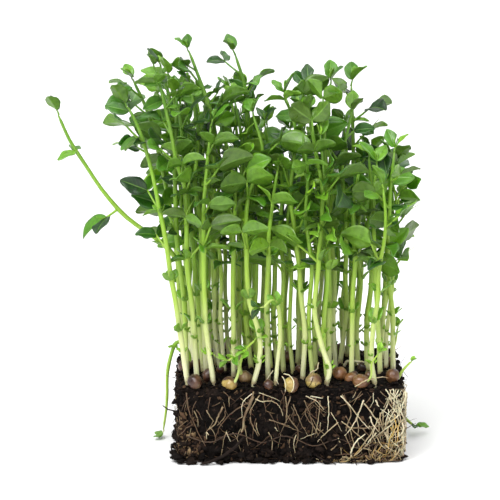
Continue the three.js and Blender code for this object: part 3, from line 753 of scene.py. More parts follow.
# Materials
class Nodes:
    """A material's nodes, made and linked in one line each. A socket may be given where a number may."""

    def __init__(self, name):
        self.material = bpy.data.materials.new(name)
        self.material.use_nodes = True
        self.tree = self.material.node_tree
        self.shader = self.tree.nodes["Principled BSDF"]

    def put(self, socket, value):
        if isinstance(value, bpy.types.NodeSocket):
            self.tree.links.new(value, socket)
        else:
            socket.default_value = value

    def make(self, kind, inputs=None, **settings):
        node = self.tree.nodes.new(kind)
        for key, value in settings.items():
            setattr(node, key, value)
        for key, value in (inputs or {}).items():
            self.put(node.inputs[key], value)
        return node

    def math(self, operation, *values):
        return self.make("ShaderNodeMath", dict(enumerate(values)), operation=operation).outputs[0]

    def plus(self, a, b):
        return self.math("ADD", a, b)

    def minus(self, a, b):
        return self.math("SUBTRACT", a, b)

    def times(self, a, b):
        return self.math("MULTIPLY", a, b)

    def mix(self, factor, a, b):
        node = self.make("ShaderNodeMix", data_type="RGBA")
        for socket, value in zip((node.inputs["Factor"], node.inputs[6], node.inputs[7]), (factor, a, b)):
            self.put(socket, (*value, 1) if isinstance(value, tuple) else value)
        return node.outputs[2]

    def ramp(self, factor, stops):
        node = self.make("ShaderNodeValToRGB", {"Fac": factor})
        elements = node.color_ramp.elements
        while len(elements) < len(stops):
            elements.new(0.5)
        for element, (place, colour) in zip(elements, stops):
            element.position = place
            element.color = (*colour, 1)
        return node.outputs["Color"]

    def place(self):
        return self.make("ShaderNodeTexCoord").outputs["Object"]

    def noise(self, scale, detail, rough=0.55, vector=None):
        node = self.make("ShaderNodeTexNoise", {"Vector": vector or self.place(), "Scale": scale,
                                                "Detail": detail, "Roughness": rough})
        return node.outputs["Fac"]

    def cells(self, scale):
        return self.make("ShaderNodeTexVoronoi", {"Vector": self.place(), "Scale": scale}).outputs["Distance"]

    def spread(self, value, low, high, to_low=0.0, to_high=1.0):
        node = self.make("ShaderNodeMapRange", {"Value": value, "From Min": low, "From Max": high,
                                                "To Min": to_low, "To Max": to_high})
        return node.outputs["Result"]

    def tint(self):
        return self.make("ShaderNodeAttribute", attribute_name="tint").outputs["Fac"]

    def parts(self, vector=None):
        """The three parts of a vector, or of the mesh's attribute "place"."""
        vector = vector or self.make("ShaderNodeAttribute", attribute_name="place").outputs["Vector"]
        return self.make("ShaderNodeSeparateXYZ", {0: vector}).outputs

    def bump(self, height, strength, distance):
        node = self.make("ShaderNodeBump", {"Height": height, "Strength": strength, "Distance": distance})
        self.put(self.shader.inputs["Normal"], node.outputs["Normal"])

    def finish(self, colour, roughness, **constants):
        self.put(self.shader.inputs["Base Color"], colour)
        self.put(self.shader.inputs["Roughness"], roughness)
        for key, value in constants.items():
            self.shader.inputs[key.replace("_", " ")].default_value = value
        return self.material


def leaf_material():
    """place holds how far a point is across the blade, -1 to 1, along it, 0 to 1, and which face it is on."""
    n = Nodes("leaf")
    across, along, side = n.parts()
    away = n.math("ABSOLUTE", across)
    shade = n.plus(n.times(n.tint(), 0.82), n.times(n.noise(75, 3), 0.28))
    top = n.ramp(shade, [(0.12, (0.004, 0.021, 0.003)), (0.4, (0.022, 0.1, 0.005)),
                         (0.65, (0.086, 0.25, 0.01)), (0.95, (0.26, 0.51, 0.03))])
    under = n.mix(0.5, top, (0.155, 0.275, 0.03))
    bloom = n.spread(n.noise(26, 2), 0.54, 0.74, 0, 0.3)
    top = n.mix(bloom, top, (0.12, 0.22, 0.05))
    colour = n.mix(n.spread(side, -0.2, 0.2), under, top)
    vein = n.minus(n.math("FRACT", n.minus(n.times(along, 7.0), n.times(away, 1.7))), 0.5)
    vein = n.times(n.spread(n.math("ABSOLUTE", vein), 0.07, 0.0), n.spread(away, 0.95, 0.6))
    midrib = n.spread(away, 0.085, 0.02)
    colour = n.mix(n.times(vein, 0.16), colour, (0.16, 0.36, 0.05))
    colour = n.mix(n.times(midrib, 0.5), colour, (0.2, 0.4, 0.05))
    colour = n.mix(n.spread(n.noise(430, 3), 0.42, 0.7, 0, 0.38), colour, (0.008, 0.042, 0.004))
    n.bump(n.plus(n.times(vein, -0.5), n.noise(420, 3)), 0.35, 0.0003)
    return n.finish(colour, n.spread(n.noise(200, 2), 0.3, 0.7, 0.27, 0.47), Subsurface_Weight=0.1,
                    Subsurface_Scale=0.0015, Subsurface_Radius=(0.6, 1.0, 0.2), Specular_IOR_Level=0.48)


def stem_material():
    """Pale at the foot and greener with height. place.x is how near a point is to the soil."""
    n = Nodes("stem")
    height = n.parts(n.place())[2]
    wobble = n.times(n.minus(n.noise(14, 2), 0.5), 0.05)
    level = n.plus(n.plus(height, wobble), n.times(n.minus(n.tint(), 0.5), 0.09))
    colour = n.ramp(n.spread(level, 0.035, 0.2), [
        (0.0, (0.64, 0.64, 0.4)), (0.11, (0.54, 0.59, 0.25)), (0.28, (0.3, 0.45, 0.055)),
        (0.55, (0.2, 0.39, 0.025)), (0.85, (0.11, 0.26, 0.018)), (1.0, (0.07, 0.2, 0.014))])
    lengthwise = n.make("ShaderNodeMapping", {"Vector": n.place(), "Scale": (1.0, 1.0, 0.06)}).outputs[0]
    fibres = n.noise(1500, 2, 0.5, lengthwise)
    colour = n.mix(n.spread(fibres, 0.4, 0.75, 0, 0.3), colour, (0.42, 0.54, 0.15))
    colour = n.mix(n.spread(n.noise(180, 3), 0.6, 0.8, 0, 0.35), colour, (0.15, 0.26, 0.03))
    buried = n.plus(n.parts()[0], n.noise(500, 3))
    colour = n.mix(n.spread(buried, 0.95, 1.5, 0, 0.75), colour, (0.2, 0.12, 0.055))
    n.bump(fibres, 0.25, 0.0002)
    return n.finish(colour, n.spread(fibres, 0.3, 0.7, 0.38, 0.5), Subsurface_Weight=0.2,
                    Subsurface_Scale=0.003, Subsurface_Radius=(0.9, 1.0, 0.3), Specular_IOR_Level=0.35)


def soil_material():
    n = Nodes("soil")
    fine = n.noise(900, 5, 0.7)
    # On the block's surface the tint is painted shade, darker in its hollows; on crumbs and clumps it is
    # their own random tone.
    shade = n.plus(n.times(n.noise(160, 6, 0.7), 0.75), n.times(n.tint(), 0.4))
    colour = n.ramp(shade, [(0.25, (0.0022, 0.0015, 0.0013)), (0.55, (0.007, 0.0042, 0.003)),
                            (0.8, (0.022, 0.0125, 0.008)), (1.0, (0.065, 0.038, 0.022))])
    specks = n.times(n.spread(n.cells(700), 0.13, 0.05), n.spread(n.noise(60, 2), 0.5, 0.7, 0, 0.5))
    colour = n.mix(specks, colour, (0.085, 0.05, 0.028))
    n.bump(n.plus(fine, n.times(n.cells(520), 0.8)), 0.9, 0.0011)
    return n.finish(colour, n.spread(fine, 0.3, 0.7, 0.7, 0.98), Specular_IOR_Level=0.14)


def fibre_material():
    n = Nodes("fibre")
    shade = n.plus(n.tint(), n.times(n.minus(n.noise(240, 4), 0.5), 0.5))
    colour = n.ramp(shade, [(0.0, (0.005, 0.0028, 0.002)), (0.35, (0.022, 0.011, 0.0065)),
                            (0.7, (0.09, 0.05, 0.026)), (1.0, (0.25, 0.17, 0.085))])
    n.bump(n.noise(1300, 4), 0.6, 0.0003)
    return n.finish(colour, n.spread(n.noise(500, 2), 0.3, 0.7, 0.72, 0.95), Specular_IOR_Level=0.2)


def root_material():
    """place.x is how yellow a root is."""
    n = Nodes("root")
    shade = n.plus(n.tint(), n.times(n.minus(n.noise(130, 4, 0.65), 0.5), 0.75))
    colour = n.ramp(shade, [(0.0, (0.025, 0.013, 0.008)), (0.35, (0.12, 0.073, 0.04)),
                            (0.65, (0.35, 0.275, 0.155)), (1.0, (0.72, 0.66, 0.46))])
    colour = n.mix(n.parts()[0], colour, (0.62, 0.37, 0.03))
    n.bump(n.noise(1500, 3), 0.4, 0.0002)
    return n.finish(colour, n.spread(n.noise(400, 2), 0.3, 0.7, 0.5, 0.75), Subsurface_Weight=0.1,
                    Subsurface_Scale=0.001, Specular_IOR_Level=0.3)


def seed_material():
    """place.x is 1 where the coat has split off the flesh, and place.y is how warm the coat's brown is."""
    n = Nodes("seed_coat")
    flesh, warm, _ = n.parts()
    mottle = n.noise(230, 5, 0.7)
    broad = n.noise(95, 2)
    spots = n.plus(n.times(n.spread(mottle, 0.3, 0.7), 0.3), n.times(n.spread(broad, 0.35, 0.65), 0.36))
    coat = n.ramp(n.plus(n.times(n.tint(), 0.4), spots), [
        (0.15, (0.014, 0.005, 0.004)), (0.4, (0.05, 0.019, 0.012)), (0.6, (0.12, 0.055, 0.026)),
        (0.8, (0.21, 0.135, 0.055)), (1.0, (0.3, 0.24, 0.11))])
    coat = n.mix(n.times(warm, n.spread(broad, 0.35, 0.62, 0.0, 0.7)), coat, (0.2, 0.082, 0.024))
    coat = n.mix(n.times(n.spread(n.cells(950), 0.16, 0.06), 0.5), coat, (0.014, 0.005, 0.005))
    coat = n.mix(n.spread(n.noise(130, 4, 0.6), 0.56, 0.68, 0, 0.6), coat, (0.2, 0.175, 0.11))
    inside = n.ramp(n.noise(150, 4), [(0.3, (0.24, 0.14, 0.025)), (0.6, (0.44, 0.33, 0.1)),
                                      (0.8, (0.5, 0.42, 0.17))])
    n.bump(n.plus(n.noise(320, 3), n.times(mottle, 0.5)), 0.45, 0.0006)
    colour = n.mix(flesh, coat, inside)
    return n.finish(colour, n.spread(mottle, 0.3, 0.7, 0.22, 0.45), Specular_IOR_Level=0.55)


def floor_material():
    n = Nodes("floor")
    colour = n.ramp(n.noise(3, 2), [(0.3, (0.86, 0.86, 0.86)), (0.7, (0.9, 0.9, 0.9))])
    return n.finish(colour, 0.9)


leaf, stem, soil, fibre = leaf_material(), stem_material(), soil_material(), fibre_material()
root, seed_coat = root_material(), seed_material()

# Camera, floor and light
TARGET = Vector((-22, 0, 110.3))
ELEVATION = math.radians(12)
DISTANCE = 1150
LENS = 148.9


def add_camera():
    camera = bpy.data.objects.new("camera", bpy.data.cameras.new("camera"))
    back = Vector((0, -math.cos(ELEVATION), math.sin(ELEVATION)))
    camera.location = (TARGET + back * DISTANCE) * MM
    camera.rotation_euler = (math.pi / 2 - ELEVATION, 0, 0)
    camera.data.lens = LENS
    camera.data.sensor_width = 36
    bpy.context.scene.collection.objects.link(camera)
    bpy.context.scene.camera = camera


def add_light(kind, name, place, size, power):
    """A lamp that looks at the stand. A sun's size is the angle that it spreads over."""
    light = bpy.data.objects.new(name, bpy.data.lights.new(name, kind))
    if kind == "SUN":
        light.data.angle = math.radians(size)
    else:
        light.data.shape = "DISK"
        light.data.size = size
    light.data.energy = power
    light.location = place
    aim = Vector((-0.01, 0, 0.1)) - Vector(place)
    light.rotation_euler = aim.to_track_quat("-Z", "Y").to_euler()
    bpy.context.scene.collection.objects.link(light)


def add_stage():
    bpy.ops.mesh.primitive_circle_add(vertices=64, radius=60, fill_type="NGON", location=(0, 0, 0))
    floor = bpy.context.object
    floor.name = "floor"
    floor.data.materials.append(floor_material())
    world = bpy.data.worlds.new("studio")
    world.use_nodes = True
    background = world.node_tree.nodes["Background"]
    background.inputs["Color"].default_value = (1, 1, 1, 1)
    background.inputs["Strength"].default_value = 0.65
    bpy.context.scene.world = world
    add_light("SUN", "overhead", (-0.25, -0.75, 1.4), 60, 2.2)
    add_light("SUN", "behind", (0.6, 0.9, 1.2), 60, 0.9)
    add_light("AREA", "key", (-0.9, -1.1, 1.5), 0.9, 21)
    bpy.context.scene.view_settings.view_transform = "Standard"
    bpy.context.scene.view_settings.look = "None"


add_camera()
add_stage()

# The shoots
plants = stand_plants()
room = Room()
for plant in plants:
    room.take(plant["name"], stem_points(plant["curve"]))
    for _, stalk, blades in plant["organs"]:
        take_organ(room, plant["name"], stalk, blades)
FILL = dict(count=34, tries=2500, apart=4.7, off_seed=1.4)
LOWEST_LEAF = 100
BARE_SHARE = 0.36  # of the places between two nodes, those that get no side shoot


def fill_plants():
    """More plants between those of the solids."""
    seeds = [seed for group in SEED_GROUPS for seed in group]
    random = Draws(SEEDS["fill"])
    found = []
    for _ in range(FILL["tries"]):
        if len(found) == FILL["count"]:
            break
        at, nodes, aim, more = sown_draw(random)
        stems = [p["at"] for p in plants + found]
        if min(math.dist(at, s[:2]) for s in stems) < FILL["apart"]:
            continue
        if any(math.dist(at, s[:2]) < SEED_RADIUS * s[3] + FILL["off_seed"] for s in seeds):
            continue
        curve = plant_curve(at, nodes)
        name = f"filler_{len(found) + 1}"
        if not room.free(name, stem_points(curve)):
            continue
        room.take(name, stem_points(curve))
        found.append(dict(at=at, nodes=nodes, aim=aim, curve=curve, name=name, organs=[],
                          thick=0.78 + 0.16 * random(), **more))
    return found


def add_leaves(plant, random):
    """Leaves and stipules that the solids leave out: on every node of a new plant, on an old one's nodes that
    have none, and on short side shoots between the nodes."""
    curve, count, owner = plant["curve"], len(plant["nodes"]), plant["name"]
    new = not plant["organs"]
    lowest = max(1, count - plant["leafy"] + (1 if new else 0))
    for step in range(2 * lowest - 1, 2 * count + 1):
        at = step / 2
        between = step % 2 == 1
        knot = curve.point(at / count)
        azimuth = random.span(0, 360)
        if knot.z < LOWEST_LEAF or (between and random() < BARE_SHARE):
            continue
        rise = curve.tangent(at / count)
        rise.z += 0.5
        rise.normalize()
        size = (0.8 if between else 1) * (1 - 0.1 * max(0, at - count + plant["leafy"] - 1))
        if new or between or at == lowest:
            kind = "tip" if at == count else "leaf"
            organ = added_organ(room, random, owner, kind, knot, rise, azimuth, size)
            if organ:
                plant["organs"].append(organ)
        if at < count and not between:
            organ = added_organ(room, random, owner, "stipules", knot, rise, azimuth + 20, size * 0.72, False)
            if organ:
                plant["organs"].append(organ)


fillers = fill_plants()
random = Draws(SEEDS["leaves"])
for plant in plants + fillers:
    if not plant.get("small") and "bears" not in plant:
        add_leaves(plant, random)

for index, plant in enumerate(plants + fillers):
    random = Draws(SEEDS["shoots"] + 37 * index)
    tint = random.span(0.25, 0.75)
    growth = Growth()
    hangs = plant["nodes"][-1][2] < BLOCK.z
    show_stem(growth, plant, tint + (0.8 if hangs else 0))  # a hanging stem is green down to its end
    show_scales(growth, plant, random, tint)
    for organ in plant["organs"]:
        show_organ(growth, organ, tint, random)
    replaced = (plant["name"],) if index < len(plants) else ()
    growth.piece("plant_" + plant["name"], [stem, leaf], "shoot", replaced)

# Small young shoots low in the stand: knots, thickness, and organs (share, kind, azimuth, size).
SPROUTS = [
    (((-31, -40.5, 44), (-28.6, -42.4, 50), (-28, -43, 56), (-30, -43.6, 60.5), (-33.4, -43.4, 58.6)), 0.75,
     ((0.42, "leaf", 200, 0.36), (0.5, "leaf", 10, 0.34), (0.75, "stipules", 330, 0.42),
      (1, "tip", 190, 0.42))),
    (((-25.5, -31, 43), (-27.4, -33.4, 53), (-24.5, -35.4, 62), (-19.6, -36.2, 67.6)), 0.85,
     ((0.7, "stipules", 150, 0.5), (1, "tip", 20, 0.55))),
    (((59, -29, 43.6), (61.6, -30, 49), (65.6, -31, 54)), 0.8, ((1, "tip", 0, 0.28),)),
    (((40, -40, 44), (43.6, -41.4, 49), (44, -41, 56), (47, -41.6, 61)), 0.6, ((1, "tip", 20, 0.4),)),
    (((-47, 30, 44), (-50, 33, 54), (-49, 36, 64)), 0.8, ((0.6, "leaf", 120, 0.4), (1, "tip", 90, 0.5))),
    (((20, 34, 44), (22, 37, 55), (19, 38, 66)), 0.8, ((0.6, "stipules", 60, 0.45), (1, "tip", 90, 0.5))),
    (((58, 18, 44), (61, 20, 52), (62, 19, 60)), 0.75, ((1, "tip", 30, 0.45),)),
]
growth = Growth()
random = Draws(SEEDS["sprouts"])
for knots, thick, organs in SPROUTS:
    curve = Spline(knots)
    rings = 5 * len(knots)
    tube(growth, [curve.point(i / rings) for i in range(rings + 1)],
         [thick * (1.15 - 0.45 * i / rings) for i in range(rings + 1)], 7, STEM_SLOT, 0.75)
    for share, kind, azimuth, size in organs:
        foot = curve.point(share)
        rise = (curve.tangent(share) + Vector((0, 0, 0.4))).normalized()
        long, steep, hands = organ_draws(random, ORGANS[kind], size)
        stalk = Stalk(foot, rise, azimuth, steep, long)
        blades = [Blade(ORGANS[kind], stalk, draw) for draw in hands]
        show_organ(growth, (kind, stalk, blades), 0.95, random)
growth.piece("sprouts", [stem, leaf], "shoot")

# The soil
FRONT, SIDE = BLOCK.x, BLOCK.y
AROUND = 2 * (FRONT + SIDE)
GROUND = 0.1  # the lowest that a point may lie


def wall_place(round_wall, height, off):
    """A place off the walls: round_wall runs from the front's left end along the front, the right wall, the
    back and the left wall."""
    s = round_wall % AROUND
    half_x, half_y = BLOCK.x / 2, BLOCK.y / 2
    for length, start, along, out in (
            (FRONT, (-half_x, -half_y), (1, 0), (0, -1)), (SIDE, (half_x, -half_y), (0, 1), (1, 0)),
            (FRONT, (half_x, half_y), (-1, 0), (0, 1)), (SIDE, (-half_x, half_y), (0, -1), (-1, 0))):
        if s <= length:
            p = weathered(Vector((start[0] + along[0] * s, start[1] + along[1] * s, height)))
            corner = max(0, 1 - min(s, length - s) / 4)
            ahead = 1 if s > length / 2 else -1
            lean = Vector((along[0] * ahead, along[1] * ahead, 0)) * (0.5 * corner)
            out = (Vector((*out, 0)) + lean).normalized()
            return p + out * off, out
        s -= length
    return None


SOIL_STEP = 1.05


def crumbly(p, outward):
    """How far the soil's surface stands off the plain block at p."""
    big = noise.fractal(p / 13, 0.8, 2.1, 3)
    clump = noise.voronoi(p / 5.6 + Vector((3, 1, 8)))[0]
    first = noise.voronoi(p / 2.9)[0]
    second = noise.voronoi(p / 1.6 + Vector((9, 4, 1)))[0]
    ragged = 1.0 if outward.z < 0.5 else 0.6
    lumps = 2.6 * (0.45 - clump[0]) + 1.6 * (0.42 - first[0]) + 0.7 * (0.4 - second[0])
    return ragged * (1.9 * big + lumps - 0.5)


def soil_lattice():
    """Each lattice point of the box's surface once, with the direction that it faces."""
    counts = [round(BLOCK[i] / SOIL_STEP) for i in range(3)]
    index, points, outs, faces = {}, [], [], []

    def corner(lattice):
        if lattice not in index:
            index[lattice] = len(points)
            x, y, z = [lattice[i] / counts[i] for i in range(3)]
            points.append(Vector(((x - 0.5) * BLOCK.x, (y - 0.5) * BLOCK.y, z * BLOCK.z)))
            outs.append(Vector([-1 if lattice[i] == 0 else 1 if lattice[i] == counts[i] else 0
                                for i in range(3)]).normalized())
        return index[lattice]

    for axis in range(3):
        a, b = [i for i in range(3) if i != axis]
        for end in (0, counts[axis]):
            for i in range(counts[a]):
                for k in range(counts[b]):
                    quad = []
                    for da, db in ((0, 0), (1, 0), (1, 1), (0, 1)):
                        lattice = [0, 0, 0]
                        lattice[axis], lattice[a], lattice[b] = end, i + da, k + db
                        quad.append(corner(tuple(lattice)))
                    outward = (end > 0) == (axis != 1)
                    faces.append(quad if outward else quad[::-1])
    return points, outs, faces


def soil_surface():
    points, outs, faces = soil_lattice()
    shown, tints = [], []
    for p, out in zip(points, outs):
        q = weathered(p)
        off = crumbly(q, out)
        if p.z < 0.1:
            out = Vector((out.x, out.y, 0))
            q += out * (off * 0.9)
            q.z = 0.15
        else:
            near_foot = min(1, p.z / 6)
            q += out * off * (0.4 + 0.6 * near_foot) - Vector((out.x, out.y, 0)) * (1 - near_foot) * 0.8
            q.z = max(0.15, q.z)
        shown.append(q)
        # Painted shade: the tint follows how far the surface stands out, darker in its hollows and lighter on
        # its humps.
        tints.append(0.35 + 0.3 * off)
    return shown, outs, faces, tints


ICO_T = (1 + 5 ** 0.5) / 2
ICO_POINTS = [Vector(v).normalized() for v in (
    (-1, ICO_T, 0), (1, ICO_T, 0), (-1, -ICO_T, 0), (1, -ICO_T, 0), (0, -1, ICO_T), (0, 1, ICO_T),
    (0, -1, -ICO_T), (0, 1, -ICO_T), (ICO_T, 0, -1), (ICO_T, 0, 1), (-ICO_T, 0, -1), (-ICO_T, 0, 1))]
ICO_FACES = [(0, 11, 5), (0, 5, 1), (0, 1, 7), (0, 7, 10), (0, 10, 11), (1, 5, 9), (5, 11, 4), (11, 10, 2),
             (10, 7, 6), (7, 1, 8), (3, 9, 4), (3, 4, 2), (3, 2, 6), (3, 6, 8), (3, 8, 9), (4, 9, 5),
             (2, 4, 11), (6, 2, 10), (8, 6, 7), (9, 8, 1)]


def on_ground(p, low=GROUND):
    p.z = max(low, p.z)
    return p


def crumb(growth, middle, radius, random, tint):
    turn = random.rotation()
    stretch = Vector((random.span(0.6, 1.3), random.span(0.6, 1.3), random.span(0.45, 0.9)))
    points = [on_ground(turn @ (stretched(v, stretch) * (radius * random.span(0.75, 1.2))) + middle)
              for v in ICO_POINTS]
    growth.add(points, ICO_FACES, 0, tint)


def globe(rows, columns):
    """The polar angle and turn of each point of a globe, from pole to pole, and its faces. They face outwards
    where the first pole is the lower one."""
    rings = [(math.pi * i / rows, 2 * math.pi * k / columns) for i in range(1, rows) for k in range(columns)]
    faces = [(0, 1 + (k + 1) % columns, 1 + k) for k in range(columns)]
    for i in range(rows - 2):
        for k in range(columns):
            a, b = 1 + i * columns + k, 1 + i * columns + (k + 1) % columns
            faces.append((a, b, b + columns, a + columns))
    base = 1 + (rows - 2) * columns
    faces += [(base + k, base + (k + 1) % columns, base + columns) for k in range(columns)]
    return [(0, 0), *rings, (math.pi, 0)], faces


CLUMP_ANGLES, CLUMP_FACES = globe(8, 12)
# A clump's first pole is the upper one
CLUMP_FACES = [(face[0], *reversed(face[1:])) for face in CLUMP_FACES]
CLINGING = 7  # crumbs on each clump


def clump(growth, middle, radius, random):
    """A larger lump of soil, knobbly all over, with crumbs that cling to it."""
    turn = random.rotation()
    stretch = Vector((random.span(0.8, 1.35), random.span(0.8, 1.35), random.span(0.4, 0.75)))
    at = random.direction() * 9
    points = []
    for polar, side in CLUMP_ANGLES:
        flat = math.sin(polar)
        d = turn @ Vector((flat * math.cos(side), flat * math.sin(side), math.cos(polar)))
        grain = 0
        for scale, strength in ((1.5, 0.5), (3.6, 0.3), (7, 0.12)):
            grain += noise.noise(d * scale + at) * strength
        points.append(on_ground(middle + stretched(d, stretch) * (radius * (1 + grain))))
    growth.add(points, CLUMP_FACES, 0, random.span(0.05, 0.7))
    for _ in range(CLINGING):
        spot = random.pick(points)
        crumb(growth, spot, radius * random.span(0.12, 0.34), random, random.span(0.0, 0.8))


def flake(growth, middle, out, radius, random, tint):
    """A flat chip of bark or straw that lies on the surface."""
    side = (random.direction() - out * 0.5).cross(out).normalized()
    ahead = out.cross(side)
    long = radius * random.span(1, 2.4)
    lift = out * random.span(0.1, 0.5) + random.direction() * 0.3
    rim = []
    for corner in range(6):
        angle = math.pi * corner / 3
        reach = random.span(0.7, 1.1)
        rim.append(middle + side * (long * reach * math.cos(angle))
                   + ahead * (radius * reach * math.sin(angle)))
    points = [on_ground(p + lift * (radius * face * 0.3)) for face in (-1, 1) for p in rim]
    faces = [tuple(range(5, -1, -1)), tuple(range(6, 12))]
    faces += [(k, (k + 1) % 6, (k + 1) % 6 + 6, k + 6) for k in range(6)]
    growth.add(points, faces, 0, tint)


def fibre_on(growth, start, out, random, long, thick, tint):
    """A fibre that starts in the surface and strays along it."""
    heading = random.direction()
    heading = (heading - out * heading.dot(out)).normalized()
    if out.z < 0.5:
        heading.z *= 0.7
    heading = (heading + out * random.span(-0.1, 0.45)).normalized()
    count = max(3, int(long / 2.2))
    centres = [start - out * 0.5]
    for _ in range(count):
        heading = (heading + random.direction() * 0.28 - out * 0.05).normalized()
        centres.append(on_ground(centres[-1] + heading * (long / count), thick))
    radii = [thick * (1 - 0.6 * i / count) for i in range(count + 1)]
    tube(growth, centres, radii, 4, 0, tint)


# Larger lumps that the block sheds at its left front foot and along its lower edge: place and radius.
FOOT_CLUMPS = [
    ((-61.5, -41, 3), 3.0), ((-62.6, -37.6, 2.6), 2.2), ((-60, -43, 1.6), 2.6), ((-54, -44, 1.6), 2.6),
    ((-63.5, -30, 2.4), 2.6), ((-46, -44, 1.2), 1.8), ((-38, -44.6, 1.6), 2.0), ((-63.5, -20, 3), 2.7),
    ((8, -43.6, 1.4), 2.0), ((20, -44, 1.4), 1.8), ((-10, -43.6, 1.4), 1.8), ((44, -44, 1.4), 1.8),
    ((62, -36, 2), 2.1), ((-62, -37, 13), 2.6), ((-62.4, -28, 24), 2.4), ((-62, -35, 33), 2.2),
    ((-60, -40, 40), 2.2), ((-62.6, -8, 18), 2.5), ((-62.4, 14, 8), 2.6)]
# Twigs that lie on the front: thickness and places.
TWIGS = [
    (0.95, ((-25, -44, 16), (-30, -44.8, 10), (-37, -45.6, 5), (-44, -46.4, 2), (-49, -47.6, 1))),
    (0.6, ((-60, -45, 1), (-55, -46, 1.6), (-51, -45.6, 2.4), (-47, -45.8, 1.4))),
    (0.5, ((14, -43.8, 5), (19, -45.2, 2.2), (25, -46.4, 0.8))),
    (0.4, ((-60, -38, 27), (-63.4, -39.4, 29), (-66.6, -40.4, 30), (-69.6, -41.4, 32.6))),
    (0.4, ((34, -45.6, 6), (35.5, -47, 2.5), (36, -48, 0.8))),
]
CRUMBS = dict(all_over=4300, at_foot=900, by_seed=11, by_stem=5)
CLUMPS = dict(at_foot=170, on_top=60)
FIBRES = dict(all_over=2200, at_foot=260)
FLAKES = dict(all_over=2000, at_left_foot=620)
LEFT_FOOT = Vector((-64, -38, 11))  # where the pale flakes lie
soil_points, soil_outs, soil_faces, soil_painted_shade = soil_surface()
growth = Growth()
growth.add(soil_points, soil_faces, 0, soil_painted_shade)
growth.piece("soil", [soil], "soil", ("soil_block",))
open_spots = [i for i, out in enumerate(soil_outs) if out.z > -0.1]
random = Draws(SEEDS["soil"])


def open_place():
    """A point of the soil's surface, not of its underside, and the direction that it faces."""
    i = random.pick(open_spots)
    return soil_points[i], soil_outs[i]


def crumb_beside(at, scale, near, far, lift, sizes):
    """A crumb on top of the soil, beside a seed or a stem."""
    turn = random.angle()
    spot = Vector(at) + Vector((math.cos(turn), math.sin(turn))) * (scale * random.span(near, far))
    if abs(spot.y) < BLOCK.y / 2 - 0.5:
        place = Vector((*spot, soil_top(*spot) + lift))
        crumb(growth, place, random.span(*sizes), random, random.span(0, 0.6))


growth = Growth()
for _ in range(CRUMBS["all_over"]):
    p, out = open_place()
    radius = 0.4 + 1.9 * random() ** 3.5
    if p.z < 9 and out.z < 0.5:
        radius *= 1.3
    crumb(growth, p + out * (radius * random.span(-0.1, 0.55)), radius, random, random.span(0.0, 0.75))
for _ in range(CRUMBS["at_foot"]):
    start = random() * AROUND
    p, out = wall_place(start, 0.4 + 3.2 * random() ** 2, random.span(-0.6, 1.9))
    crumb(growth, p, 0.35 + 0.9 * random() ** 2, random, random.span(0.0, 0.8))
for x, y, _, size in [seed for group in SEED_GROUPS for seed in group]:
    for _ in range(CRUMBS["by_seed"]):
        crumb_beside((x, y), SEED_RADIUS * size, 0.75, 1.15, 0.2, (0.7, 1.7))
for plant in plants + fillers:
    if not plant.get("small"):
        for _ in range(CRUMBS["by_stem"]):
            crumb_beside(plant["at"][:2], 1, 1.3, 2.6, 0.1, (0.6, 1.5))
growth.piece("soil_crumbs", [soil], "soil")

growth = Growth()
for _ in range(CLUMPS["at_foot"]):
    start = random() * AROUND
    height = 0.8 + 6 * random() ** 2.5
    middle, _ = wall_place(start, height, random.span(-1.8, 0.9))
    clump(growth, middle, 0.8 + 1.8 * random() ** 2, random)
for _ in range(CLUMPS["on_top"]):
    spot = Vector((random.span(-58, 58), random.span(-38, 38)))
    clump(growth, Vector((*spot, soil_top(*spot) - 0.3)), random.span(1.4, 2.8), random)
for place, radius in FOOT_CLUMPS:
    clump(growth, Vector(place), radius, random)
growth.piece("soil_clumps", [soil], "soil")

growth = Growth()
for _ in range(FIBRES["all_over"]):
    p, out = open_place()
    long = 2 + 10 * random() ** 2.4
    fibre_on(growth, p, out, random, long, random.span(0.09, 0.3), random() ** 1.7 * 0.9)
for _ in range(FIBRES["at_foot"]):
    p, out = wall_place(random() * AROUND, 0.6 + 2.5 * random(), 0)
    fibre_on(growth, p, (out + Vector((0, 0, -0.3))).normalized(), random, random.span(2, 6),
             random.span(0.12, 0.3), random() ** 1.5 * 0.8)
for thick, bends in TWIGS:
    radii = [thick * 0.6, *[thick] * (len(bends) - 2), thick * 0.6]
    tube(growth, [Vector(v) for v in bends], radii, 6, 0, 0.1)
growth.piece("fibres", [fibre], "soil")

growth = Growth()
for _ in range(FLAKES["all_over"]):
    p, out = open_place()
    pale = max(0, 1 - (p - LEFT_FOOT).length / 26)
    flake(growth, p + out * random.span(0, 0.6), out, random.span(0.35, 1.1) * (1 + 0.6 * pale), random,
          min(1, random() ** 1.9 * 0.75 + 0.6 * pale * random()))
near_foot = [i for i in open_spots if (soil_points[i] - LEFT_FOOT).length < 20 and soil_outs[i].z < 0.5]
for _ in range(FLAKES["at_left_foot"]):
    i = random.pick(near_foot)
    p, out = soil_points[i], soil_outs[i]
    if random() >= (p - LEFT_FOOT).length / 20:
        flake(growth, p + out * random.span(0, 1.2), out, random.span(0.4, 1.2), random, random.span(0.3, 1))
growth.piece("flakes", [fibre], "soil")

# The roots
def root_path(random, start, height, heading, long, wander, low=0.1, high=1.3):
    """A root that strays over the walls, low to high off them. heading is 0 straight down and 90 towards
    growing round_wall."""
    count = max(4, int(long / 2.6))
    phase = random.angle()
    centres = []
    for i in range(count + 1):
        off = low + (high - low) * (0.5 + 0.5 * math.sin(phase + i * 0.9))
        centres.append(wall_place(start, min(41.5, max(0.7, height)), off)[0])
        heading += random.span(-wander, wander)
        start += math.sin(math.radians(heading)) * long / count
        height -= math.cos(math.radians(heading)) * long / count
    return centres


def add_root(growth, centres, thick, tint, warm=0.0):
    count = len(centres) - 1
    radii = [thick * (1 - 0.55 * i / count) for i in range(count + 1)]
    tube(growth, centres, radii, 5, 0, min(1, max(0, tint)), [(warm, 0, 0)] * len(centres))


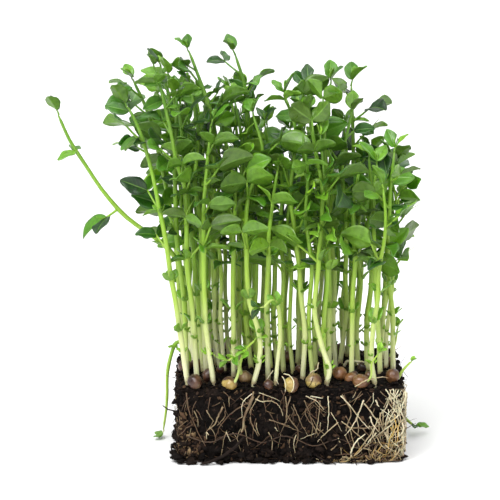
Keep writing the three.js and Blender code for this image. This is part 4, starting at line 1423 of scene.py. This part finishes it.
def add_curve(growth, random, knots, thick, tint, rough=0.25):
    """A root through the knots, with small bends of its own."""
    curve = Spline(knots)
    count = 5 * (len(knots) - 1)
    centres = [curve.point(i / count) + random.direction() * (rough if 0 < i < count else 0)
               for i in range(count + 1)]
    add_root(growth, centres, thick, tint)


# Single roots of the front: thickness, tint, and the places (x, z) that each runs through.
FRONT_ROOTS = [
    (0.95, 0.42, ((-20.4, 38.5), (-22.4, 33), (-24.8, 27.4), (-25.8, 20.9), (-26.8, 17.8))),
    (0.5, 0.4, ((-21.4, 31.5), (-21.9, 26.4), (-20.4, 20.9), (-17.5, 15.8))),
    (0.3, 0.9, ((-20.9, 40), (-24.8, 36.5), (-26.3, 33), (-26.5, 25.9))),
    (0.35, 0.7, ((-19, 37), (-15.6, 35.5), (-11.7, 36), (-7.8, 34.5), (-5.4, 31.5), (-4.2, 27.4))),
    (0.25, 0.75, ((-17.1, 40.5), (-10.3, 38), (-5.4, 35.5))),
    (0.6, 0.5, ((-36.9, 32), (-39.4, 26.9), (-41.3, 22.4), (-44.8, 19.3))),
    (0.38, 0.5, ((-45.7, 30.5), (-43.8, 26.9), (-41.8, 23.9))),
    (0.3, 0.45, ((-35.5, 30), (-36, 26.4), (-38.4, 23.4), (-39.9, 21.9))),
    (0.25, 0.4, ((-51.5, 30.5), (-49.6, 28.4), (-48.1, 24.9))),
    (0.3, 0.85, ((-35, 18.3), (-33.8, 15.3), (-32.6, 12.8))),
    (0.3, 0.8, ((-44.8, 16.3), (-46.1, 17.8), (-45.8, 14))),
    (0.3, 0.35, ((-57.9, 19.9), (-55.9, 20.9), (-54, 22.1))),
    (0.35, 0.55, ((-18.5, 23.4), (-18.3, 19.9), (-17, 16.3))),
    (0.25, 0.95, ((-8.5, 21.1), (-6.8, 18.8))),
    (0.3, 0.45, ((-11.7, 25.4), (-5.4, 23.4), (-0.2, 21.4))),
    (0.32, 0.6, ((-2.8, 38), (-2.1, 32.5), (-2.3, 23.4))),
    (0.35, 0.8, ((8.3, 38.5), (13.7, 36), (18.1, 31))),
    (0.4, 0.95, ((10.8, 38.5), (17.5, 37.5))),
    (0.38, 0.85, ((20.4, 38.5), (20.8, 30.5), (20.1, 19.3))),
    (0.33, 0.55, ((16.1, 36), (15.7, 30.5), (14.5, 20.4), (13.8, 16.8))),
    (0.42, 0.8, ((27.2, 38.5), (31.1, 34.5), (36.1, 27.9), (41, 21.9), (43.5, 19.3))),
    (0.45, 0.85, ((39.9, 36), (37.5, 29.5), (35.6, 24.4), (32.7, 19.9), (29.4, 16.3))),
    (0.35, 0.65, ((25.9, 23.9), (20.6, 18.8), (16.3, 14.3), (14.8, 12.2))),
    (0.25, 0.7, ((22, 29.5), (25.4, 23.9), (27.9, 18.8))),
    (0.33, 0.65, ((27.8, 24.4), (33.2, 19.9), (38.1, 15.3), (41.1, 12.2))),
    (0.6, 0.95, ((33.4, 3.6), (33.4, 7.7), (36.2, 13.3), (41, 16.8))),
    (0.4, 0.7, ((26, 14.8), (27.5, 10.7), (28, 5.1))),
    (0.4, 0.5, ((22.2, 7.7), (26, 11.2))),
    (0.35, 0.9, ((52.4, 42), (54.9, 38), (56.9, 32.5))),
    (0.35, 0.9, ((56.7, 42), (57.8, 38), (56.9, 30.5))),
    (0.4, 0.95, ((58.7, 37.5), (60.5, 30.5), (61, 23.4))),
    (0.4, 0.9, ((46.6, 36), (49.1, 31.5), (56.5, 26.4))),
    (0.5, 0.95, ((43.9, 26.4), (44.9, 22.9), (48.8, 17.8))),
    (0.3, 0.5, ((1.6, 33.5), (4, 27.4), (6, 22.4), (9.4, 16.3))),
    (0.3, 0.45, ((7.4, 36), (9.8, 30.5), (11.3, 25.4), (12.3, 20.4), (11.4, 15.3))),
    (0.25, 0.4, ((-5.7, 23.4), (-0.8, 20.9), (6.5, 17.8))),
    (0.25, 0.8, ((45.1, 40), (45.2, 35.5), (43.3, 31.5))),
]
# White roots above the soil: thickness, tint and places.
TOP_ROOTS = [
    (0.95, 0.9, ((31, 0, 43.5), (33, -1, 46.6), (38, -5, 47.6), (43, -8, 47.4), (45.5, -10.3, 45.5),
                 (46, -12, 42))),
    (0.35, 0.95, ((38, -5, 47), (39, -7, 45), (41, -8, 43.6))),
    (0.4, 0.95, ((-3.5, -36, 49), (-0.6, -41.5, 49.5), (1.6, -45.6, 47.6), (1.4, -46.3, 44),
                 (0.4, -46.3, 41.5))),
    (0.33, 0.95, ((-4.6, -38, 48), (-3.6, -44, 48), (-2.8, -46.2, 45), (-3, -45.6, 41.6))),
    (0.4, 0.85, ((15.6, -31, 54), (14.6, -33, 50.6), (11.5, -34.5, 49.5), (9.5, -35, 47))),
    (0.3, 0.85, ((12.5, -33.8, 50.3), (12.3, -34.2, 48.4), (12.6, -34.6, 47))),
    (0.35, 0.9, ((-9.5, -33, 50), (-11.6, -36, 47.6), (-13.5, -38, 45.6))),
    (0.3, 0.9, ((-8.5, -33, 48.6), (-7.6, -36.5, 46), (-6.6, -39, 43.8))),
    (0.45, 0.8, ((45.6, -38.5, 46.6), (41.5, -42.6, 47.4), (37.6, -44.2, 45.6), (34.8, -43.8, 43.8))),
    (0.35, 0.7, ((47, -37, 47), (50, -37.6, 47.6), (53.4, -36, 46.6))),
]
CAD_ROOT_TINTS = (0.1, 0.5, 0.3, 0.35, 0.4, 0.45, 0.5, 0.7, 0.75, 0.4)
# Roots that stray over a stretch of the walls: start, end, number, lengths and tints.
STRAY_ROOTS = [(2, 66, 44, (4, 13), (0.1, 0.7)), (60, 122, 52, (6, 16), (0.15, 0.75)),
               (125, 165, 60, (7, 20), (0.3, 0.9)), (165, 209, 34, (6, 18), (0.1, 0.7)),
               (209, 334, 84, (6, 20), (0.1, 0.7)), (334, 418, 50, (5, 16), (0.05, 0.55))]
MAT_ROOTS = 240

growth = Growth()
random = Draws(SEEDS["roots"])
for tint, bends in zip(CAD_ROOT_TINTS, ROOTS):
    knots = [wall_place(along + FRONT / 2, height, ROOT_OFF - 0.35)[0] for along, height in bends]
    add_curve(growth, random, knots, 0.42, tint)
for thick, tint, bends in FRONT_ROOTS:
    add_curve(growth, random, [wall_place(x + FRONT / 2, z, 1.5)[0] for x, z in bends], thick, tint, 0.2)
for thick, tint, bends in TOP_ROOTS:
    add_curve(growth, random, [Vector(p) for p in bends], thick, tint, 0.15)
for start, end, number, long, tint in STRAY_ROOTS:
    for _ in range(number):
        path = root_path(random, random.span(start, end), 41 * random() ** 0.7 + 1, random.span(-60, 60),
                         random.span(*long), 18)
        add_root(growth, path, random.span(0.12, 0.34), random.span(*tint))
growth.piece("root_net", [root], "root", ("root_web",))

# The dense mat of pale roots at the right end of the front, widest at its foot, with a yellow patch.
growth = Growth()
for _ in range(MAT_ROOTS):
    low = random()
    height = 2 + 38 * low ** 1.9
    reach = 40 * (1 - low) ** 1.3 + 7
    start = 125 - reach * random() ** 1.5 + 14 * random() ** 3
    base = height < 12 and start < 124
    warm = random.span(0.1, 0.4) if base and random() < 0.4 else 0.0
    if 117.5 < start < 123 and 14 < height < 22:
        warm = random.span(0.45, 1.0)
    heading = random.span(-100, 100) if base else random.span(-42, 42)
    path = root_path(random, start, height + (0 if base else 5), heading, random.span(5, 17), 20, 0.2, 2.6)
    tint = random.span(0.2, 0.72) if base else random.span(0.6, 1.1)
    add_root(growth, path, random.span(0.14, 0.4), tint, warm)
growth.piece("root_mat", [root], "root")

# The seeds
SEED_WARMTH = {4: 0.3, 7: 0.9, 8: 0.8, 9: 0.5, 11: 0.5}
SEED_TINTS = [0.12, 0.5, 0.75, 0.6, 0.35, 0.8, 0.9, 0.35, 0.5, 0.45, 0.35, 0.3, 0.6]
SPLIT = {2: (-0.35, -0.75, -0.4), 5: (-0.8, -0.5, 0.1), 6: (-0.1, -0.35, -0.95)}  # where the flesh shows


def show_seed(growth, middle, radius, random, tint, flesh=None, warm=0.0):
    """A pea with a slightly dented, wrinkled coat, and its flesh where the coat has split."""
    turn = random.rotation()
    dents = [(random.direction(), random.span(0.05, 0.16)) for _ in range(4)]
    stretch = Vector((random.span(0.86, 1.08), random.span(0.86, 1.08), random.span(0.84, 1.02)))
    seed_noise = random.direction() * 7
    hilum = random.direction()
    angles, faces = globe(18, 28)
    points, places = [], []
    for polar, side in angles:
        flat = math.sin(polar)
        squash = 0.96 if 0 < polar < math.pi else 1
        d = turn @ Vector((flat * math.cos(side), flat * math.sin(side), -math.cos(polar) * squash))
        r = 1 - sum(depth * max(0, d.dot(at)) ** 6 for at, depth in dents)
        r += 0.09 * noise.noise(d * 1.9 + seed_noise) + 0.03 * noise.noise(d * 5 + seed_noise)
        r -= 0.05 * max(0, 1 - 5 * abs(noise.noise(d * 2.6 - seed_noise)))
        r -= 0.08 * max(0, 1 - 7 * (1 - d.dot(hilum)))
        split = 0.0
        if flesh:
            edge = d.dot(Vector(flesh).normalized()) + 0.18 * noise.noise(d * 2.2 + seed_noise * 2)
            split = min(1, max(0, (edge - 0.2) / 0.06))
            r -= 0.045 * split
        points.append(middle + stretched(d, stretch) * (radius * r))
        places.append((split, warm, 0))
    growth.add(points, faces, 0, tint, places)


def seed_middle(seed):
    x, y, above, _ = seed
    return Vector((x, y, soil_top(x, max(y, -BLOCK.y / 2 + 2)) + above))


for number, group in enumerate(SEED_GROUPS):
    growth = Growth()
    for seed in group:
        show_seed(growth, seed_middle(seed), SEED_RADIUS * seed[3], random, SEED_TINTS[number],
                  SPLIT.get(number), SEED_WARMTH.get(number, 0))
    growth.piece(f"pea_{number + 1}", [seed_coat], "seed", (f"seeds_{number + 1}",))

# Small seeds and shed coats: place, radius and tint.
SMALL_SEEDS = [
    ((-51.4, -7, 46), 4.2, 0.3), ((-38.5, -20.5, 47.2), 2.6, 0.4), ((-0.6, 12.7, 45.4), 3.7, 0.75),
    ((35.1, -25.5, 45.2), 2.8, 0.2), ((43.4, -27.3, 45.4), 2.7, 0.85), ((41.1, -8.5, 45), 3.1, 0.12),
    ((-14, 22, 45), 3.6, 0.35), ((30, 30, 45.2), 3.9, 0.5), ((-45, 20, 45.4), 3.8, 0.2),
    ((56.5, 4, 45), 3.3, 0.4), ((6, -12, 44.8), 3.2, 0.3)]
growth = Growth()
for middle, radius, tint in SMALL_SEEDS:
    show_seed(growth, Vector(middle), radius, random, tint)
growth.piece("small_seeds", [seed_coat], "seed")
